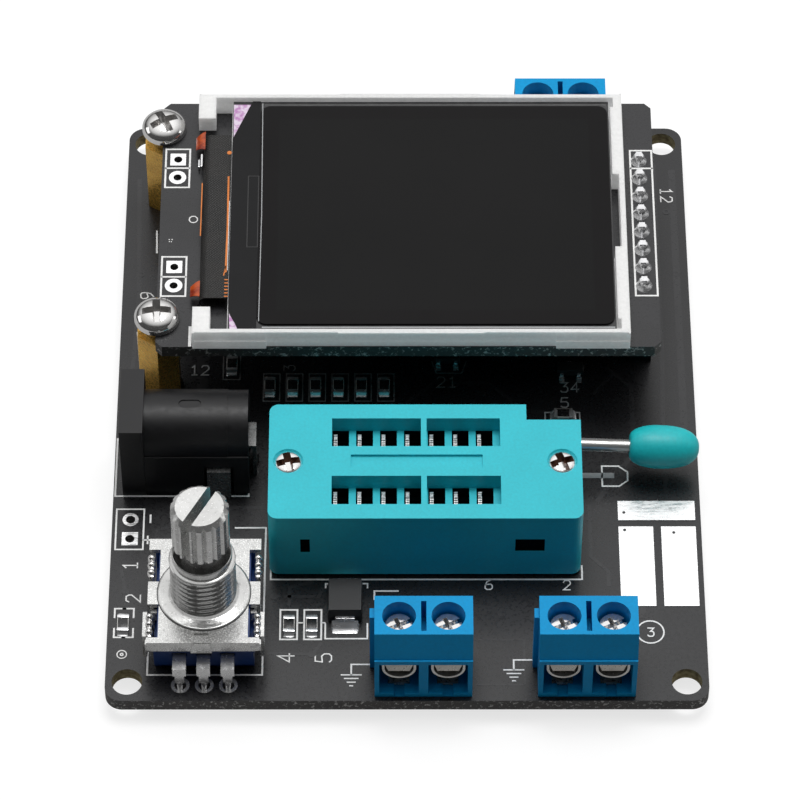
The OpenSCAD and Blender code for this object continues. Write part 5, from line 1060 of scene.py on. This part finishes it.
# tabs of the pressed plate crimped over the sides of the encoder, and the line round its boss
bm = bmesh.new()
for sx in (-1, 1):
    for y, h in ((-26.6, 1.45), (-34.15, 1.5)):
        x = ENC_X + sx * 5.55
        box(bm, (x - 0.26, y - h, 6.6), (x + 0.26, y + h, 7.75), 0, 0.2)
        for k in (-0.75, 0.1, 0.85):
            place = Matrix.Translation((x + 0.04 * sx, y + k * h * 0.8, 7.55))
            lathe(bm, [(0, 0.55), (0.2, 0.5), (0.36, 0.34), (0.43, 0.1), (0.43, -0.3), (0, -0.3)], place, 16)
finish_mesh("crimped_tabs", steady(bm), "chrome", smooth=50)
bm = bmesh.new()
annulus(bm, ENC_X, ENC_Y, 4.83, 4.93, 8.1, 0.02, AROUND)
finish_mesh("boss_line", bm, "black_smooth")

# eyelets where the encoder's three front pins go through
bm = bmesh.new()
for dx in (-2.5, 0, 2.5):
    annulus(bm, ENC_X + dx, -37.55, 0.62, 0.98, TOP, 0.05, 28)
finish_mesh("pin_eyelets", bm, "tinned")

# ---------------------------------------------------------------- display details

# painted highlights: pale strips in the grey and dim print tones for the light that the cut edges of film and
# glass catch
bm = bmesh.new()
line([(-15.85, 30.95), (-15.72, 15.0), (-15.8, 0.0)], 0.09, z=GLASS + 0.2)
line([(-15.4, -0.72), (22.25, -0.72)], 0.16, z=GLASS)
line([(-15.6, 30.92), (22.2, 30.92)], 0.08, z=GLASS, mat=1)
finish_mesh("glass_edge_light", bm, ["grey_silk_shade_and_highlight", "dim_silk_shade_and_highlight"])

# corners of the backlight's film beside the glass
bm = bmesh.new()
for outline in ([(-19.05, 30.95), (-17.0, 30.95), (-18.05, 28.6), (-19.0, 25.9)],
                [(-19.0, 1.2), (-18.9, -0.95), (-17.8, -0.95), (-18.5, 0.1)]):
    prism(bm, outline, GLASS + 0.005, GLASS + 0.03)
finish_mesh("film_corners", bm, "pink")

# bare copper, contact row and solder of the flexible circuit, and a painted highlight along the copper
bm = bmesh.new()
line([(-19.5, 7.4), (-19.42, 14.0), (-19.46, 20.9)], 0.2, z=FLEX)
line([(-19.7, 6.9), (-19.5, 8.2)], 0.12, z=FLEX)
line([(-22.36, 12.7), (-22.34, 20.2)], 0.12, z=14.5)
for i in range(6):
    line([(-19.56, 4.0 + i * 0.46), (-19.24, 4.0 + i * 0.46)], 0.15, z=FLEX)
prism(bm, circle(-19.44, 24.4, 0.26, 20), 14.7, 14.79)
finish_mesh("flex_copper", bm, "copper")
bm = bmesh.new()
# a thin bright line along the copper strip: a painted highlight, drawn in the solder material
line([(-19.31, 7.6), (-19.29, 17.4)], 0.06, z=14.79)
box(bm, (-22.6, 22.7, 13.9), (-22.38, 24.5, 14.5), 0, 0.09)
box(bm, (-22.9, 23.1, 13.5), (-22.7, 24.2, 13.9), 0, 0.08)
finish_mesh("flex_solder_and_highlight", steady(bm), "solder")

# amber tape tabs that droop from its outer edge
bm = bmesh.new()
for y0, y1, dx in ((24.9, 27.5, 0.0), (4.0, 6.2, -0.12)):
    rows = []
    for i in range(7):
        a = i / 6
        x = -22.12 + dx - 1.05 * a
        z = 14.78 - 0.55 * a * a
        rows.append([bm.verts.new((x * MM, y * MM, zz * MM)) for y, zz in
                     ((y0 + 0.35 * a, z), (y1 - 0.5 * a, z),
                      (y1 - 0.5 * a, z - 0.08), (y0 + 0.35 * a, z - 0.08))])
    for a, b in zip(rows, rows[1:]):
        for j in range(4):
            bm.faces.new((a[j], a[(j + 1) % 4], b[(j + 1) % 4], b[j]))
    bm.faces.new(rows[0])
    bm.faces.new(rows[-1][::-1])
finish_mesh("flex_tabs", bm, "polyimide", smooth=40)

# upper tips of the test socket's spring contacts
bm = bmesh.new()
for i in range(7):
    for y in SOCKET_ROWS:
        x = -7.7 + LEAD_PITCH * i
        box(bm, (x, y - 1.28, 8.45), (x + 0.3, y + 1.28, 9.7), 0)
        for k in range(9):
            q = y - 1.2 + k * 0.3
            box(bm, (x - 0.04, q, 9.5), (x + 0.36, q + 0.13, 9.76), 0)
finish_mesh("contact_tips", bm, "pad")

# faint rectangle on the display's black tape
bm = bmesh.new()
frame_line(-17.25, 10.35, -16.12, 20.45, 0.1, GLASS + 0.1)
finish_mesh("tape_window", bm, "black_smooth")
